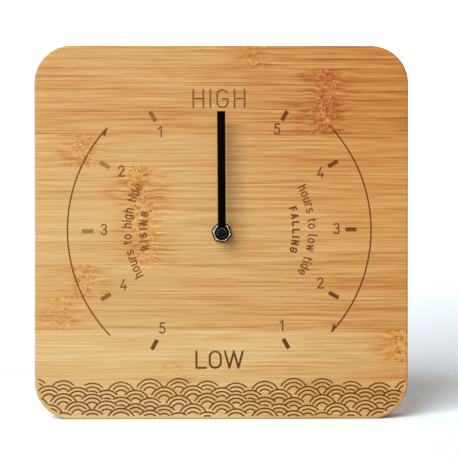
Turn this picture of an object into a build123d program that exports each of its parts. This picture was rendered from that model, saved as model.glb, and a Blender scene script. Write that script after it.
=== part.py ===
from build123d import *
import os
from math import acos, atan2, cos, degrees, pi, radians, sin, sqrt, tan

# Tide clock: a thick square bamboo board with a dial cut into its face, one black hand,
# and a battery movement in a square pocket in the back. Millimetres, +Z up, the front
# faces -Y, and the origin is the middle of the bottom face that the clock stands on.

# Driving dimensions of the board
BOARD_SIDE = 200.0
BOARD_THICKNESS = 24.0
BOARD_CORNER_RADIUS = 20.0
BOARD_EDGE_RADIUS = 1.0
FRONT_WEB = 5.5
POCKET_CORNER_RADIUS = 6.0

# Driving dimensions of the hand
HAND_LENGTH = 64.2
HAND_TIP_WIDTH = 4.3
HAND_ROOT_WIDTH = 4.2
HAND_THICKNESS = 0.5
HAND_LEAN = 0.36
HUB_RADIUS = 3.85

# Driving dimensions of the movement
CASE_SIDE = 56.0
CASE_DEPTH = 16.0
CASE_WALL = 1.2
CASE_CORNER_RADIUS = 2.0
THREAD_RADIUS = 3.5
THREAD_PITCH = 0.75
NUT_ACROSS_FLATS = 10.0
NUT_THICKNESS = 2.5
GASKET_RADIUS = 8.0
GASKET_THICKNESS = 0.8

# Driving dimensions of the battery, an AA cell that fills the width of the movement
BATTERY_NUB_LENGTH = 1.5
BATTERY_NUB_RADIUS = 2.75
BATTERY_NUB_GAP = 0.9
BATTERY_SPRING_GAP = 2.2
BATTERY_RADIUS_SHARE = 0.1449

# Teeth and modules of the wheels: the modules grow and shrink with the case
MODULE_STEP_SHARE = 1 / 560
MODULE_STEP = CASE_SIDE * MODULE_STEP_SHARE
TIDE_TEETH = 40
MINUTE_PINION_TEETH = 10
TIDE_MODULE = 4 * MODULE_STEP
MINUTE_TEETH = 36
CANNON_TEETH = 12
MINUTE_MODULE = TIDE_MODULE * (TIDE_TEETH + MINUTE_PINION_TEETH) / (MINUTE_TEETH + CANNON_TEETH)
CENTRE_TEETH = 64
THIRD_TEETH = 60
FOURTH_TEETH = 32
FIFTH_TEETH = 60
LEAF_TEETH = 8
TRAIN_MODULE = 3 * MODULE_STEP
FOURTH_MODULE = 4 * MODULE_STEP
ROTOR_MODULE = 2.2 * MODULE_STEP

# Clearances
RUNNING_CLEARANCE = 0.05
LOOSE_CLEARANCE = 0.2
PRESS_CLEARANCE = 0.02
POCKET_CLEARANCE = 3.0
CUT_OVERRUN = 1.0

SHAFT_Z = BOARD_SIDE / 2
FRONT_Y = -BOARD_THICKNESS / 2
BACK_Y = BOARD_THICKNESS / 2
POCKET_SIDE = CASE_SIDE + 2 * POCKET_CLEARANCE
POCKET_FLOOR_Y = FRONT_Y + FRONT_WEB
CASE_FRONT_Y = POCKET_FLOOR_Y + GASKET_THICKNESS
INNER_HALF = CASE_SIDE / 2 - CASE_WALL
BATTERY_BODY_LENGTH = 2 * INNER_HALF - BATTERY_NUB_GAP - BATTERY_NUB_LENGTH - BATTERY_SPRING_GAP
BATTERY_RADIUS = BATTERY_BODY_LENGTH * BATTERY_RADIUS_SHARE

os.makedirs("parts", exist_ok=True)


def slab(shape, front, back):
    """A flat shape, drawn as seen from the front, as a solid between two places along Y."""
    return extrude(Plane.XZ.offset(-back) * shape, amount=back - front)


def at(place, shape):
    """A flat shape moved to a place (x, z) that is measured from the shaft."""
    return Pos(place[0], place[1] + SHAFT_Z) * shape


def rod(place, radius, front, back):
    """A round rod along Y at a place measured from the shaft."""
    return slab(at(place, Circle(radius)), front, back)


def block(left, right, bottom, top, front, back):
    """A box whose x and z are measured from the shaft and whose front and back are along Y."""
    centre = ((left + right) / 2, (bottom + top) / 2)
    return slab(at(centre, Rectangle(right - left, top - bottom)), front, back)


def depth(inside):
    """The place along Y of a depth measured from the front face of the movement."""
    return CASE_FRONT_Y + inside


def from_place(place, distance, angle):
    """The place at a distance and an angle in degrees from another place."""
    return (place[0] + distance * cos(radians(angle)), place[1] + distance * sin(radians(angle)))


def angle_between(start, end):
    """The direction in degrees from one place to another, as seen from the front."""
    return degrees(atan2(end[1] - start[1], end[0] - start[0]))


def write(name, solid):
    """Write one named piece, as one solid or as a group of separate ones."""
    solids = solid.solids()
    export_step(solids[0] if len(solids) == 1 else Compound(children=list(solids)), f"parts/{name}.step")


# Dial cuts: ten hour ticks and two arrowed arcs, cut into the board's face
TICK_RING_RADIUS = 70.4
TICK_LENGTH = 5.9
TICK_WIDTH = 2.2
TICK_ANGLES = [60, 30, 0, -30, -60, 120, 150, 180, 210, 240]
ARC_RADIUS = 81.2
ARC_WIDTH = 0.8
ARC_HALF_ANGLE = 43.2
ARROW_LENGTH = 5.0
ARROW_WIDTH = 2.3
ENGRAVE_DEPTH = 0.3
DIAL_SHIFT_X = -1.1
DIAL_SHIFT_Z = 1.3
DIAL_TURN = 0.38


def dial_cuts():
    """The ticks and arcs as one flat shape about the middle of the dial."""
    cuts = []
    for angle in TICK_ANGLES:
        tick = Rot(0, 0, angle) * Pos(TICK_RING_RADIUS, 0) * Rectangle(TICK_LENGTH, TICK_WIDTH)
        cuts.append(tick)
    outer = ARC_RADIUS + ARC_WIDTH / 2
    inner = ARC_RADIUS - ARC_WIDTH / 2
    reach = outer / cos(radians(ARC_HALF_ANGLE))
    edge = from_place((0, 0), reach, ARC_HALF_ANGLE)
    wedge = make_face(Polyline((0, 0), (edge[0], -edge[1]), edge, (0, 0)))
    arc = (Circle(outer) - Circle(inner)) & wedge
    behind = degrees(ARROW_LENGTH / ARC_RADIUS) - ARC_HALF_ANGLE
    tip = from_place((0, 0), ARC_RADIUS, -ARC_HALF_ANGLE)
    barb = from_place((0, 0), ARC_RADIUS - ARROW_WIDTH, behind)
    heel = from_place((0, 0), ARC_RADIUS, behind)
    arc += make_face(Polyline(tip, heel, barb, tip))
    for half_turn in (0, 180):
        cuts.append(Rot(0, 0, half_turn) * arc)
    whole = cuts[0]
    for cut in cuts[1:]:
        whole += cut
    return whole


# Keyhole hanger: a steel plate let into the back near the top, with two countersunk screws
HANGER_WIDTH = 38.0
HANGER_HEIGHT = 16.0
HANGER_THICKNESS = 1.6
HANGER_CORNER_RADIUS = 4.0
HANGER_DROP = 32.0
KEYHOLE_RADIUS = 4.5
KEYHOLE_SLOT_WIDTH = 4.5
KEYHOLE_DROP = 2.5
KEYHOLE_SLOT_RISE = 6.0
HANGER_SCREW_SPACING = 28.0
HANGER_SCREW_HEAD_RADIUS = 3.0
HANGER_SCREW_SHANK_RADIUS = 1.4
HANGER_SCREW_LENGTH = 12.0
HANGER_CAVITY_WIDTH = 14.0
HANGER_CAVITY_HEIGHT = 14.0
HANGER_CAVITY_DEPTH = 6.0

HANGER_Z = BOARD_SIDE - HANGER_DROP - SHAFT_Z
HANGER_FRONT_Y = BACK_Y - HANGER_THICKNESS
KEYHOLE_Z = HANGER_Z - KEYHOLE_DROP
hanger_screw_places = [(side * HANGER_SCREW_SPACING / 2, HANGER_Z) for side in (-1, 1)]


def countersink(place, head, shank, thickness, clearance):
    """The cone and shank of a countersunk screw, or with a clearance the hole for it."""
    solid = rod(place, shank + clearance, BACK_Y - HANGER_SCREW_LENGTH - clearance, BACK_Y)
    profile = make_face(
        Polyline(
            (0, BACK_Y),
            (head + clearance, BACK_Y),
            (shank + clearance, BACK_Y - thickness),
            (0, BACK_Y - thickness),
            (0, BACK_Y),
        )
    )
    return solid + Pos(place[0], 0, place[1] + SHAFT_Z) * revolve(profile, Axis.Y)


def keyhole_hanger():
    """A steel plate with a keyhole and two countersunk holes."""
    plate = slab(
        at((0, HANGER_Z), RectangleRounded(HANGER_WIDTH, HANGER_HEIGHT, HANGER_CORNER_RADIUS)),
        HANGER_FRONT_Y,
        BACK_Y,
    )
    plate -= rod((0, KEYHOLE_Z), KEYHOLE_RADIUS, HANGER_FRONT_Y, BACK_Y)
    slot_top = KEYHOLE_Z + KEYHOLE_SLOT_RISE
    half_slot = KEYHOLE_SLOT_WIDTH / 2
    plate -= block(-half_slot, half_slot, KEYHOLE_Z, slot_top, HANGER_FRONT_Y, BACK_Y)
    plate -= rod((0, slot_top), half_slot, HANGER_FRONT_Y, BACK_Y)
    for place in hanger_screw_places:
        plate -= countersink(
            place, HANGER_SCREW_HEAD_RADIUS, HANGER_SCREW_SHANK_RADIUS, HANGER_THICKNESS, PRESS_CLEARANCE
        )
    return plate


def hanger_screws():
    """Two countersunk wood screws with a straight driver slot."""
    group = []
    slot_width = HANGER_SCREW_SHANK_RADIUS / 2
    slot_depth = HANGER_THICKNESS / 2
    for place in hanger_screw_places:
        screw = countersink(
            place, HANGER_SCREW_HEAD_RADIUS, HANGER_SCREW_SHANK_RADIUS, HANGER_THICKNESS, 0
        )
        screw -= block(
            place[0] - HANGER_SCREW_HEAD_RADIUS,
            place[0] + HANGER_SCREW_HEAD_RADIUS,
            place[1] - slot_width / 2,
            place[1] + slot_width / 2,
            BACK_Y - slot_depth,
            BACK_Y,
        )
        group.append(screw)
    return Compound(children=group)


def dial_board():
    """The bamboo board with its cut dial, shaft hole, rear pocket and hanger recess."""
    outline = Pos(0, SHAFT_Z) * RectangleRounded(BOARD_SIDE, BOARD_SIDE, BOARD_CORNER_RADIUS)
    board = slab(outline, FRONT_Y, BACK_Y)
    rims = board.faces().filter_by(Axis.Y).edges()
    board = fillet(rims, BOARD_EDGE_RADIUS)
    board -= rod((0, 0), THREAD_RADIUS + LOOSE_CLEARANCE, FRONT_Y - CUT_OVERRUN, BACK_Y)
    pocket = at((0, 0), RectangleRounded(POCKET_SIDE, POCKET_SIDE, POCKET_CORNER_RADIUS))
    board -= slab(pocket, POCKET_FLOOR_Y, BACK_Y + CUT_OVERRUN)
    width = HANGER_WIDTH + PRESS_CLEARANCE
    height = HANGER_HEIGHT + PRESS_CLEARANCE
    recess = at((0, HANGER_Z), RectangleRounded(width, height, HANGER_CORNER_RADIUS))
    board -= slab(recess, HANGER_FRONT_Y, BACK_Y + CUT_OVERRUN)
    board -= block(
        -HANGER_CAVITY_WIDTH / 2,
        HANGER_CAVITY_WIDTH / 2,
        HANGER_Z - HANGER_CAVITY_HEIGHT / 2,
        HANGER_Z + HANGER_CAVITY_HEIGHT / 2,
        HANGER_FRONT_Y - HANGER_CAVITY_DEPTH,
        BACK_Y,
    )
    for place in hanger_screw_places:
        board -= rod(
            place,
            HANGER_SCREW_SHANK_RADIUS + PRESS_CLEARANCE,
            BACK_Y - HANGER_SCREW_LENGTH - PRESS_CLEARANCE,
            BACK_Y,
        )
    dial = Pos(DIAL_SHIFT_X, SHAFT_Z + DIAL_SHIFT_Z) * Rot(0, 0, DIAL_TURN) * dial_cuts()
    return board - slab(dial, FRONT_Y - CUT_OVERRUN, FRONT_Y + ENGRAVE_DEPTH)


# Threaded bush, nut and gasket: they clamp the movement to the board's front web
BUSH_FLANGE_RADIUS = 5.0
BUSH_FLANGE_THICKNESS = 0.6
BUSH_STAND_OUT = 2.0
THREAD_DEPTH = 0.35
CANNON_RADIUS = 2.55
CANNON_BORE_RADIUS = 1.6
NUT_BEVEL_WIDTH = 0.75
NUT_BEVEL_DEPTH = 0.8
NUT_TURNED_SHARE = 0.545
NUT_TURN = -10.0

BUSH_FRONT_Y = FRONT_Y - NUT_THICKNESS - BUSH_STAND_OUT
BUSH_BACK_Y = depth(CASE_WALL + BUSH_FLANGE_THICKNESS)


def threaded_bush():
    """A brass bush: a flange inside the case, and a threaded tube for the hand's shaft."""
    crest = THREAD_RADIUS
    root = THREAD_RADIUS - THREAD_DEPTH
    bore = CANNON_RADIUS + RUNNING_CLEARANCE
    turns = int((CASE_FRONT_Y - BUSH_FRONT_Y) / THREAD_PITCH)
    points = [(bore, BUSH_FRONT_Y), (root, BUSH_FRONT_Y)]
    for turn in range(turns):
        groove = BUSH_FRONT_Y + turn * THREAD_PITCH
        points.append((crest, groove + THREAD_PITCH / 2))
        points.append((root, groove + THREAD_PITCH))
    points.append((crest, BUSH_FRONT_Y + turns * THREAD_PITCH + THREAD_DEPTH))
    points.append((crest, depth(CASE_WALL)))
    points.append((BUSH_FLANGE_RADIUS, depth(CASE_WALL)))
    points.append((BUSH_FLANGE_RADIUS, BUSH_BACK_Y))
    points.append((bore, BUSH_BACK_Y))
    points.append(points[0])
    return Pos(0, 0, SHAFT_Z) * revolve(make_face(Polyline(*points)), Axis.Y)


def hex_nut():
    """A hexagon nut with turned corners, whose front face is a smaller hexagon inside a wide bevel."""
    corner_radius = NUT_ACROSS_FLATS / sqrt(3)
    front_radius = corner_radius - NUT_BEVEL_WIDTH
    nut_front_y = FRONT_Y - NUT_THICKNESS
    bevel_y = nut_front_y + NUT_BEVEL_DEPTH
    base = at((0, 0), RegularPolygon(corner_radius, 6, rotation=NUT_TURN))
    face = at((0, 0), RegularPolygon(front_radius, 6, rotation=NUT_TURN))
    sections = [Plane.XZ.offset(-bevel_y) * base, Plane.XZ.offset(-nut_front_y) * face]
    nut = slab(base, bevel_y, FRONT_Y) + loft(sections, ruled=True)
    nut &= rod((0, 0), NUT_ACROSS_FLATS * NUT_TURNED_SHARE, nut_front_y, FRONT_Y)
    return nut - rod((0, 0), THREAD_RADIUS + PRESS_CLEARANCE, nut_front_y, FRONT_Y)


def rubber_gasket():
    """A rubber washer between the movement and the floor of the pocket."""
    ring = rod((0, 0), GASKET_RADIUS, POCKET_FLOOR_Y, CASE_FRONT_Y)
    return ring - rod((0, 0), THREAD_RADIUS + RUNNING_CLEARANCE, POCKET_FLOOR_Y, CASE_FRONT_Y)


# Hand: a stamped blade riveted on a collet, which is pressed on the tide wheel's tube
COLLET_RADIUS = 3.2
COLLET_LENGTH = 4.5
COLLET_GAP = 0.5
RIVET_RADIUS = 2.8
RIVET_STAND_OUT = 0.25
CAP_RADIUS = 2.5
CAP_THICKNESS = 0.45
CAP_STEM_LENGTH = 2.0

COLLET_BACK_Y = BUSH_FRONT_Y - COLLET_GAP
BLADE_BACK_Y = COLLET_BACK_Y - COLLET_LENGTH
BLADE_FRONT_Y = BLADE_BACK_Y - HAND_THICKNESS
RIVET_FRONT_Y = BLADE_FRONT_Y - RIVET_STAND_OUT


def hand_blade():
    """A straight baton with a square tip and a round hub."""
    outline = Polyline(
        (-HAND_ROOT_WIDTH / 2, 0),
        (HAND_ROOT_WIDTH / 2, 0),
        (HAND_TIP_WIDTH / 2, HAND_LENGTH),
        (-HAND_TIP_WIDTH / 2, HAND_LENGTH),
        (-HAND_ROOT_WIDTH / 2, 0),
    )
    shape = make_face(outline) + Circle(HUB_RADIUS) - Circle(RIVET_RADIUS)
    return slab(at((0, 0), Rot(0, 0, HAND_LEAN) * shape), BLADE_FRONT_Y, BLADE_BACK_Y)


def hand_collet():
    """The turned collet: a boss behind the blade and a thin rivet rim through it."""
    collet = rod((0, 0), COLLET_RADIUS, BLADE_BACK_Y, COLLET_BACK_Y)
    collet += rod((0, 0), RIVET_RADIUS, RIVET_FRONT_Y, BLADE_BACK_Y)
    return collet - rod((0, 0), CANNON_RADIUS, RIVET_FRONT_Y, COLLET_BACK_Y)


def hand_cap():
    """A small domed plug that closes the end of the tube."""
    stem = CANNON_BORE_RADIUS
    stem_end = RIVET_FRONT_Y + CAP_STEM_LENGTH
    front = RIVET_FRONT_Y - CAP_THICKNESS
    shoulder = (CAP_RADIUS - CAP_THICKNESS / 2, front + CAP_THICKNESS / 2)
    dome = ThreePointArc((0, front), (CAP_RADIUS / 2, front + CAP_THICKNESS / 8), shoulder)
    rim = [(CAP_RADIUS, RIVET_FRONT_Y), (stem, RIVET_FRONT_Y)]
    sides = Polyline(shoulder, *rim, (stem, stem_end), (0, stem_end), (0, front))
    profile = make_face(dome + sides)
    return Pos(0, 0, SHAFT_Z) * revolve(profile, Axis.Y)


# Gear teeth: slim involute teeth, so that every pair runs free at any angle
PRESSURE_ANGLE = 20.0
ADDENDUM_SHARE = 0.8
DEDENDUM_SHARE = 1.15
TOOTH_SHARE = 0.42


def pitch_radius(teeth, module):
    """The radius at which a gear rolls on its mate."""
    return teeth * module / 2


def gear(teeth, module, turn):
    """A gear's outline, with one tooth centred on the angle turn."""
    pitch = pitch_radius(teeth, module)
    base = pitch * cos(radians(PRESSURE_ANGLE))
    tip = pitch + ADDENDUM_SHARE * module
    root = pitch - DEDENDUM_SHARE * module

    def involute(radius):
        """The angle that the flank has turned through at a radius."""
        if radius <= base:
            return 0.0
        flank = acos(base / radius)
        return tan(flank) - flank

    half_tooth = TOOTH_SHARE * pi / teeth + involute(pitch)
    foot = max(base, root)
    side = [(half_tooth - involute(radius), radius) for radius in (foot, pitch, tip)]
    if root < base:
        side.insert(0, (half_tooth, root))
    points = []
    for tooth in range(teeth):
        middle = radians(turn) + tooth * 2 * pi / teeth
        for angle, radius in side:
            points.append((radius * cos(middle - angle), radius * sin(middle - angle)))
        for angle, radius in reversed(side):
            points.append((radius * cos(middle + angle), radius * sin(middle + angle)))
    return make_face(Polyline(*points, points[0]))


def root_radius(teeth, module):
    """The radius at the bottom of the gaps between the teeth."""
    return pitch_radius(teeth, module) - DEDENDUM_SHARE * module


def mating_turn(direction, teeth):
    """The turn that puts a gap, not a tooth, of a mating gear on the line of centres."""
    return direction + 180 + 180 / teeth


# Places of the arbors, measured from the shaft
MINUTE_ANGLE = 150.0
SETTING_ANGLE = 130.0
THIRD_ANGLE = 20.0
FOURTH_ANGLE = 80.0
FIFTH_ANGLE = 170.0
ROTOR_ANGLE = 180.0

CENTRE = (0, 0)
MINUTE = from_place(CENTRE, pitch_radius(TIDE_TEETH + MINUTE_PINION_TEETH, TIDE_MODULE), MINUTE_ANGLE)
SETTING = from_place(MINUTE, pitch_radius(MINUTE_TEETH + CANNON_TEETH, MINUTE_MODULE), SETTING_ANGLE)
THIRD = from_place(CENTRE, pitch_radius(CENTRE_TEETH + LEAF_TEETH, TRAIN_MODULE), THIRD_ANGLE)
FOURTH = from_place(THIRD, pitch_radius(THIRD_TEETH + LEAF_TEETH, TRAIN_MODULE), FOURTH_ANGLE)
FIFTH = from_place(FOURTH, pitch_radius(FOURTH_TEETH + LEAF_TEETH, FOURTH_MODULE), FIFTH_ANGLE)
ROTOR = from_place(FIFTH, pitch_radius(FIFTH_TEETH + LEAF_TEETH, ROTOR_MODULE), ROTOR_ANGLE)

# Depths of the wheels, measured from the front face of the movement
WHEEL_GAP = 0.2
LEVEL_GAP = 0.75
PINION_OVERLAP = 0.3
TIDE_WHEEL_THICKNESS = 1.2
MINUTE_WHEEL_THICKNESS = 1.0
CANNON_PINION_LENGTH = 1.4
CLUTCH_HEIGHT = 0.6
CENTRE_WHEEL_THICKNESS = 0.8
TRAIN_WHEEL_THICKNESS = 0.6

TIDE_START = CASE_WALL + BUSH_FLANGE_THICKNESS + WHEEL_GAP
TIDE_END = TIDE_START + TIDE_WHEEL_THICKNESS
CANNON_START = TIDE_END + 2 * WHEEL_GAP
CANNON_END = CANNON_START + CANNON_PINION_LENGTH
MINUTE_WHEEL_START = CANNON_START + WHEEL_GAP
MINUTE_WHEEL_END = MINUTE_WHEEL_START + MINUTE_WHEEL_THICKNESS
MINUTE_PINION_START = CASE_WALL + LOOSE_CLEARANCE
CENTRE_START = CANNON_END + CLUTCH_HEIGHT
CENTRE_END = CENTRE_START + CENTRE_WHEEL_THICKNESS
THIRD_START = CENTRE_END + LEVEL_GAP
THIRD_END = THIRD_START + TRAIN_WHEEL_THICKNESS
FOURTH_START = THIRD_END + LEVEL_GAP
FOURTH_END = FOURTH_START + TRAIN_WHEEL_THICKNESS
FIFTH_START = FOURTH_END + LEVEL_GAP
FIFTH_END = FIFTH_START + TRAIN_WHEEL_THICKNESS
PLATE_THICKNESS = 1.0
PLATE_START = FIFTH_END + LEVEL_GAP
PLATE_END = PLATE_START + PLATE_THICKNESS
COVER_START = CASE_DEPTH - CASE_WALL
THIRD_PINION_START = CENTRE_START - PINION_OVERLAP
FOURTH_PINION_START = THIRD_START - PINION_OVERLAP
FIFTH_PINION_START = FOURTH_START - PINION_OVERLAP
ROTOR_PINION_START = FIFTH_START - PINION_OVERLAP

# Arbors
ARBOR_RADIUS = 0.5
PIVOT_RADIUS = 0.3
CENTRE_PIVOT_RADIUS = 0.6
PIVOT_LENGTH = 0.8
POST_RADIUS = 0.9
COLLAR_RADIUS = 1.2
COLLAR_LENGTH = 0.5


def minute_side_turn():
    """The turn of the minute wheel, with a tooth on the line to the shaft."""
    return angle_between(MINUTE, CENTRE)


def tide_wheel():
    """The wheel that turns once in a tide, with its tube through the bush to the hand."""
    wheel = gear(TIDE_TEETH, TIDE_MODULE, angle_between(CENTRE, MINUTE))
    solid = slab(at(CENTRE, wheel), depth(TIDE_START), depth(TIDE_END))
    solid += rod(CENTRE, CANNON_RADIUS, RIVET_FRONT_Y, depth(TIDE_START))
    return solid - rod(CENTRE, CANNON_BORE_RADIUS, RIVET_FRONT_Y - CUT_OVERRUN, depth(TIDE_END))


def minute_wheel():
    """The reduction wheel between the centre arbor and the tide wheel."""
    pinion_turn = mating_turn(angle_between(CENTRE, MINUTE), MINUTE_PINION_TEETH)
    pinion = gear(MINUTE_PINION_TEETH, TIDE_MODULE, pinion_turn)
    solid = slab(at(MINUTE, pinion), depth(MINUTE_PINION_START), depth(TIDE_END + WHEEL_GAP))
    hub = root_radius(MINUTE_PINION_TEETH, TIDE_MODULE)
    solid += rod(MINUTE, hub, depth(MINUTE_PINION_START), depth(MINUTE_WHEEL_END))
    wheel = gear(MINUTE_TEETH, MINUTE_MODULE, minute_side_turn())
    solid += slab(at(MINUTE, wheel), depth(MINUTE_WHEEL_START), depth(MINUTE_WHEEL_END))
    bore = POST_RADIUS + RUNNING_CLEARANCE
    return solid - rod(MINUTE, bore, depth(MINUTE_PINION_START), depth(MINUTE_WHEEL_END))


def centre_arbor():
    """The steel arbor through the middle, with its pinion and the collar of the clutch."""
    turn = mating_turn(angle_between(MINUTE, CENTRE), CANNON_TEETH)
    pinion = gear(CANNON_TEETH, MINUTE_MODULE, turn)
    solid = slab(at(CENTRE, pinion), depth(CANNON_START), depth(CANNON_END))
    guide = CANNON_BORE_RADIUS - RUNNING_CLEARANCE
    front = RIVET_FRONT_Y + CAP_STEM_LENGTH + LOOSE_CLEARANCE
    solid += rod(CENTRE, guide, front, depth(CANNON_START))
    solid += rod(CENTRE, CENTRE_PIVOT_RADIUS, depth(CANNON_END), depth(PLATE_END - WHEEL_GAP))
    collar_start = CENTRE_END + RUNNING_CLEARANCE
    return solid + rod(CENTRE, COLLAR_RADIUS, depth(collar_start), depth(collar_start + COLLAR_LENGTH))


def centre_wheel():
    """The train's last wheel, which carries the centre arbor round through the clutch."""
    wheel = gear(CENTRE_TEETH, TRAIN_MODULE, angle_between(CENTRE, THIRD))
    solid = slab(at(CENTRE, wheel), depth(CENTRE_START), depth(CENTRE_END))
    bore = CENTRE_PIVOT_RADIUS + RUNNING_CLEARANCE
    return solid - rod(CENTRE, bore, depth(CENTRE_START), depth(CENTRE_END))


def clutch_spring():
    """A dished spring washer between the cannon pinion and the centre wheel."""
    inner = CENTRE_PIVOT_RADIUS + RUNNING_CLEARANCE
    outer = root_radius(CANNON_TEETH, MINUTE_MODULE)
    thickness = CLUTCH_HEIGHT / 4
    low = depth(CANNON_END) + RUNNING_CLEARANCE
    high = depth(CENTRE_START) - RUNNING_CLEARANCE
    profile = make_face(
        Polyline(
            (inner, low), (outer, high - thickness), (outer, high), (inner, low + thickness), (inner, low)
        )
    )
    return Pos(CENTRE[0], 0, CENTRE[1] + SHAFT_Z) * revolve(profile, Axis.Y)


def train_arbor(place, driver, pinion_module, pinion_start, wheel_teeth, wheel_module, wheel_turn, levels):
    """A train wheel and its leaf pinion on one arbor that has a thin pivot at each end."""
    pinion_end, wheel_start, wheel_end = levels
    turn = mating_turn(angle_between(driver, place), LEAF_TEETH)
    solid = slab(at(place, gear(LEAF_TEETH, pinion_module, turn)), depth(pinion_start), depth(pinion_end))
    solid += slab(
        at(place, gear(wheel_teeth, wheel_module, wheel_turn)), depth(wheel_start), depth(wheel_end)
    )
    rear_shoulder = PLATE_START - WHEEL_GAP / 2
    solid += rod(place, ARBOR_RADIUS, depth(pinion_start), depth(rear_shoulder))
    front_pivot = depth(pinion_start - WHEEL_GAP - PIVOT_LENGTH)
    return solid + rod(place, PIVOT_RADIUS, front_pivot, depth(PLATE_END - WHEEL_GAP))


def third_wheel():
    """The third wheel, whose pinion turns the centre wheel."""
    levels = (CENTRE_END + PINION_OVERLAP, THIRD_START, THIRD_END)
    turn = angle_between(THIRD, FOURTH)
    return train_arbor(
        THIRD, CENTRE, TRAIN_MODULE, THIRD_PINION_START, THIRD_TEETH, TRAIN_MODULE, turn, levels
    )


def fourth_wheel():
    """The fourth wheel, which turns about once a minute and drives the third wheel."""
    levels = (THIRD_END + PINION_OVERLAP, FOURTH_START, FOURTH_END)
    turn = angle_between(FOURTH, FIFTH)
    return train_arbor(
        FOURTH, THIRD, TRAIN_MODULE, FOURTH_PINION_START, FOURTH_TEETH, FOURTH_MODULE, turn, levels
    )


def fifth_wheel():
    """The fifth wheel, driven by the rotor's pinion."""
    levels = (FOURTH_END + PINION_OVERLAP, FIFTH_START, FIFTH_END)
    turn = angle_between(FIFTH, ROTOR)
    return train_arbor(
        FIFTH, FOURTH, FOURTH_MODULE, FIFTH_PINION_START, FIFTH_TEETH, ROTOR_MODULE, turn, levels
    )


# Rotor: a leaf pinion and a magnet that the coil turns half a turn at each step
MAGNET_RADIUS = 3.0
MAGNET_THICKNESS = 1.2
MAGNET_GAP = 0.4

MAGNET_START = PLATE_END + WHEEL_GAP
MAGNET_END = MAGNET_START + MAGNET_THICKNESS
ROTOR_REAR = COVER_START - WHEEL_GAP


def rotor_pinion():
    """The rotor's arbor and pinion, pivoted in the case floor and in the cover."""
    turn = mating_turn(angle_between(FIFTH, ROTOR), LEAF_TEETH)
    pinion = gear(LEAF_TEETH, ROTOR_MODULE, turn)
    solid = slab(at(ROTOR, pinion), depth(ROTOR_PINION_START), depth(FIFTH_END + PINION_OVERLAP))
    solid += rod(ROTOR, ARBOR_RADIUS, depth(ROTOR_PINION_START), depth(MAGNET_END + WHEEL_GAP / 2))
    front_pivot = depth(ROTOR_PINION_START - WHEEL_GAP - PIVOT_LENGTH)
    return solid + rod(ROTOR, PIVOT_RADIUS, front_pivot, depth(ROTOR_REAR))


def rotor_magnet():
    """The round magnet, pressed on the rotor's arbor."""
    magnet = rod(ROTOR, MAGNET_RADIUS, depth(MAGNET_START), depth(MAGNET_END))
    return magnet - rod(ROTOR, ARBOR_RADIUS, depth(MAGNET_START), depth(MAGNET_END))


# Stator, coil and core: the stepping motor beside the train
STATOR_THICKNESS = 0.8
STATOR_ARM_WIDTH = 4.0
STATOR_SPINE_MARGIN = 1.4
CORE_WIDTH = 3.2
CORE_THICKNESS = 0.8
COIL_RADIUS = 2.6
BOBBIN_TUBE_RADIUS = 1.85
BOBBIN_FLANGE_RADIUS = 2.85
BOBBIN_FLANGE_THICKNESS = 0.8
COIL_SIDE_GAP = 1.2
LOWER_ARM_Z = 1.0
UPPER_ARM_INSET = 3.2
UPPER_ARM_Z = INNER_HALF - UPPER_ARM_INSET

STATOR_START = PLATE_END
STATOR_END = STATOR_START + STATOR_THICKNESS
CORE_START = STATOR_START - CORE_THICKNESS
COIL_X = INNER_HALF - COIL_SIDE_GAP - BOBBIN_FLANGE_RADIUS
COIL_AXIS_DEPTH = CORE_START + CORE_THICKNESS / 2
COIL_BOTTOM = LOWER_ARM_Z + STATOR_ARM_WIDTH / 2 + LOOSE_CLEARANCE
COIL_TOP = UPPER_ARM_Z - STATOR_ARM_WIDTH / 2 - LOOSE_CLEARANCE

# Screws inside the movement
SCREW_SHANK_RADIUS = 0.6
SCREW_HEAD_RADIUS = 1.4
SCREW_HEAD_HEIGHT = 0.7
SCREW_GRIP = 4.0
SCREW_POST_RADIUS = 1.5
POST_INSET = 1.6
PLATE_MARGIN = 1.8
COIL_PLATE_GAP = 2.0

CHAMBER_WALL = 1.0
BATTERY_CLEARANCE = 0.3
BATTERY_Z = -CASE_SIDE / 2 + CASE_WALL + BATTERY_CLEARANCE + BATTERY_RADIUS
BATTERY_DEPTH = CASE_WALL + BATTERY_CLEARANCE + BATTERY_RADIUS
CHAMBER_TOP = BATTERY_Z + BATTERY_RADIUS + 2 * BATTERY_CLEARANCE
DIVIDER_TOP = CHAMBER_TOP + CHAMBER_WALL
LOWER_POST_Z = DIVIDER_TOP + POST_INSET
SPINE_LEFT = ROTOR[0] - MAGNET_RADIUS - MAGNET_GAP - STATOR_SPINE_MARGIN
SPINE_RIGHT = ROTOR[0] + MAGNET_RADIUS + MAGNET_GAP + STATOR_SPINE_MARGIN
PLATE_LEFT_POST_X = SPINE_LEFT - SCREW_HEAD_RADIUS - LOOSE_CLEARANCE
PLATE_RIGHT = COIL_X - BOBBIN_FLANGE_RADIUS - COIL_PLATE_GAP
PLATE_RIGHT_POST_X = PLATE_RIGHT - PLATE_MARGIN - SCREW_POST_RADIUS

plate_screw_places = [
    (PLATE_LEFT_POST_X, LOWER_POST_Z),
    (PLATE_RIGHT_POST_X, LOWER_POST_Z),
    (PLATE_LEFT_POST_X, UPPER_ARM_Z),
]
stator_screw_place = (PLATE_RIGHT_POST_X, UPPER_ARM_Z)
core_screw_places = [(COIL_X, LOWER_ARM_Z), (COIL_X, UPPER_ARM_Z)]


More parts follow.
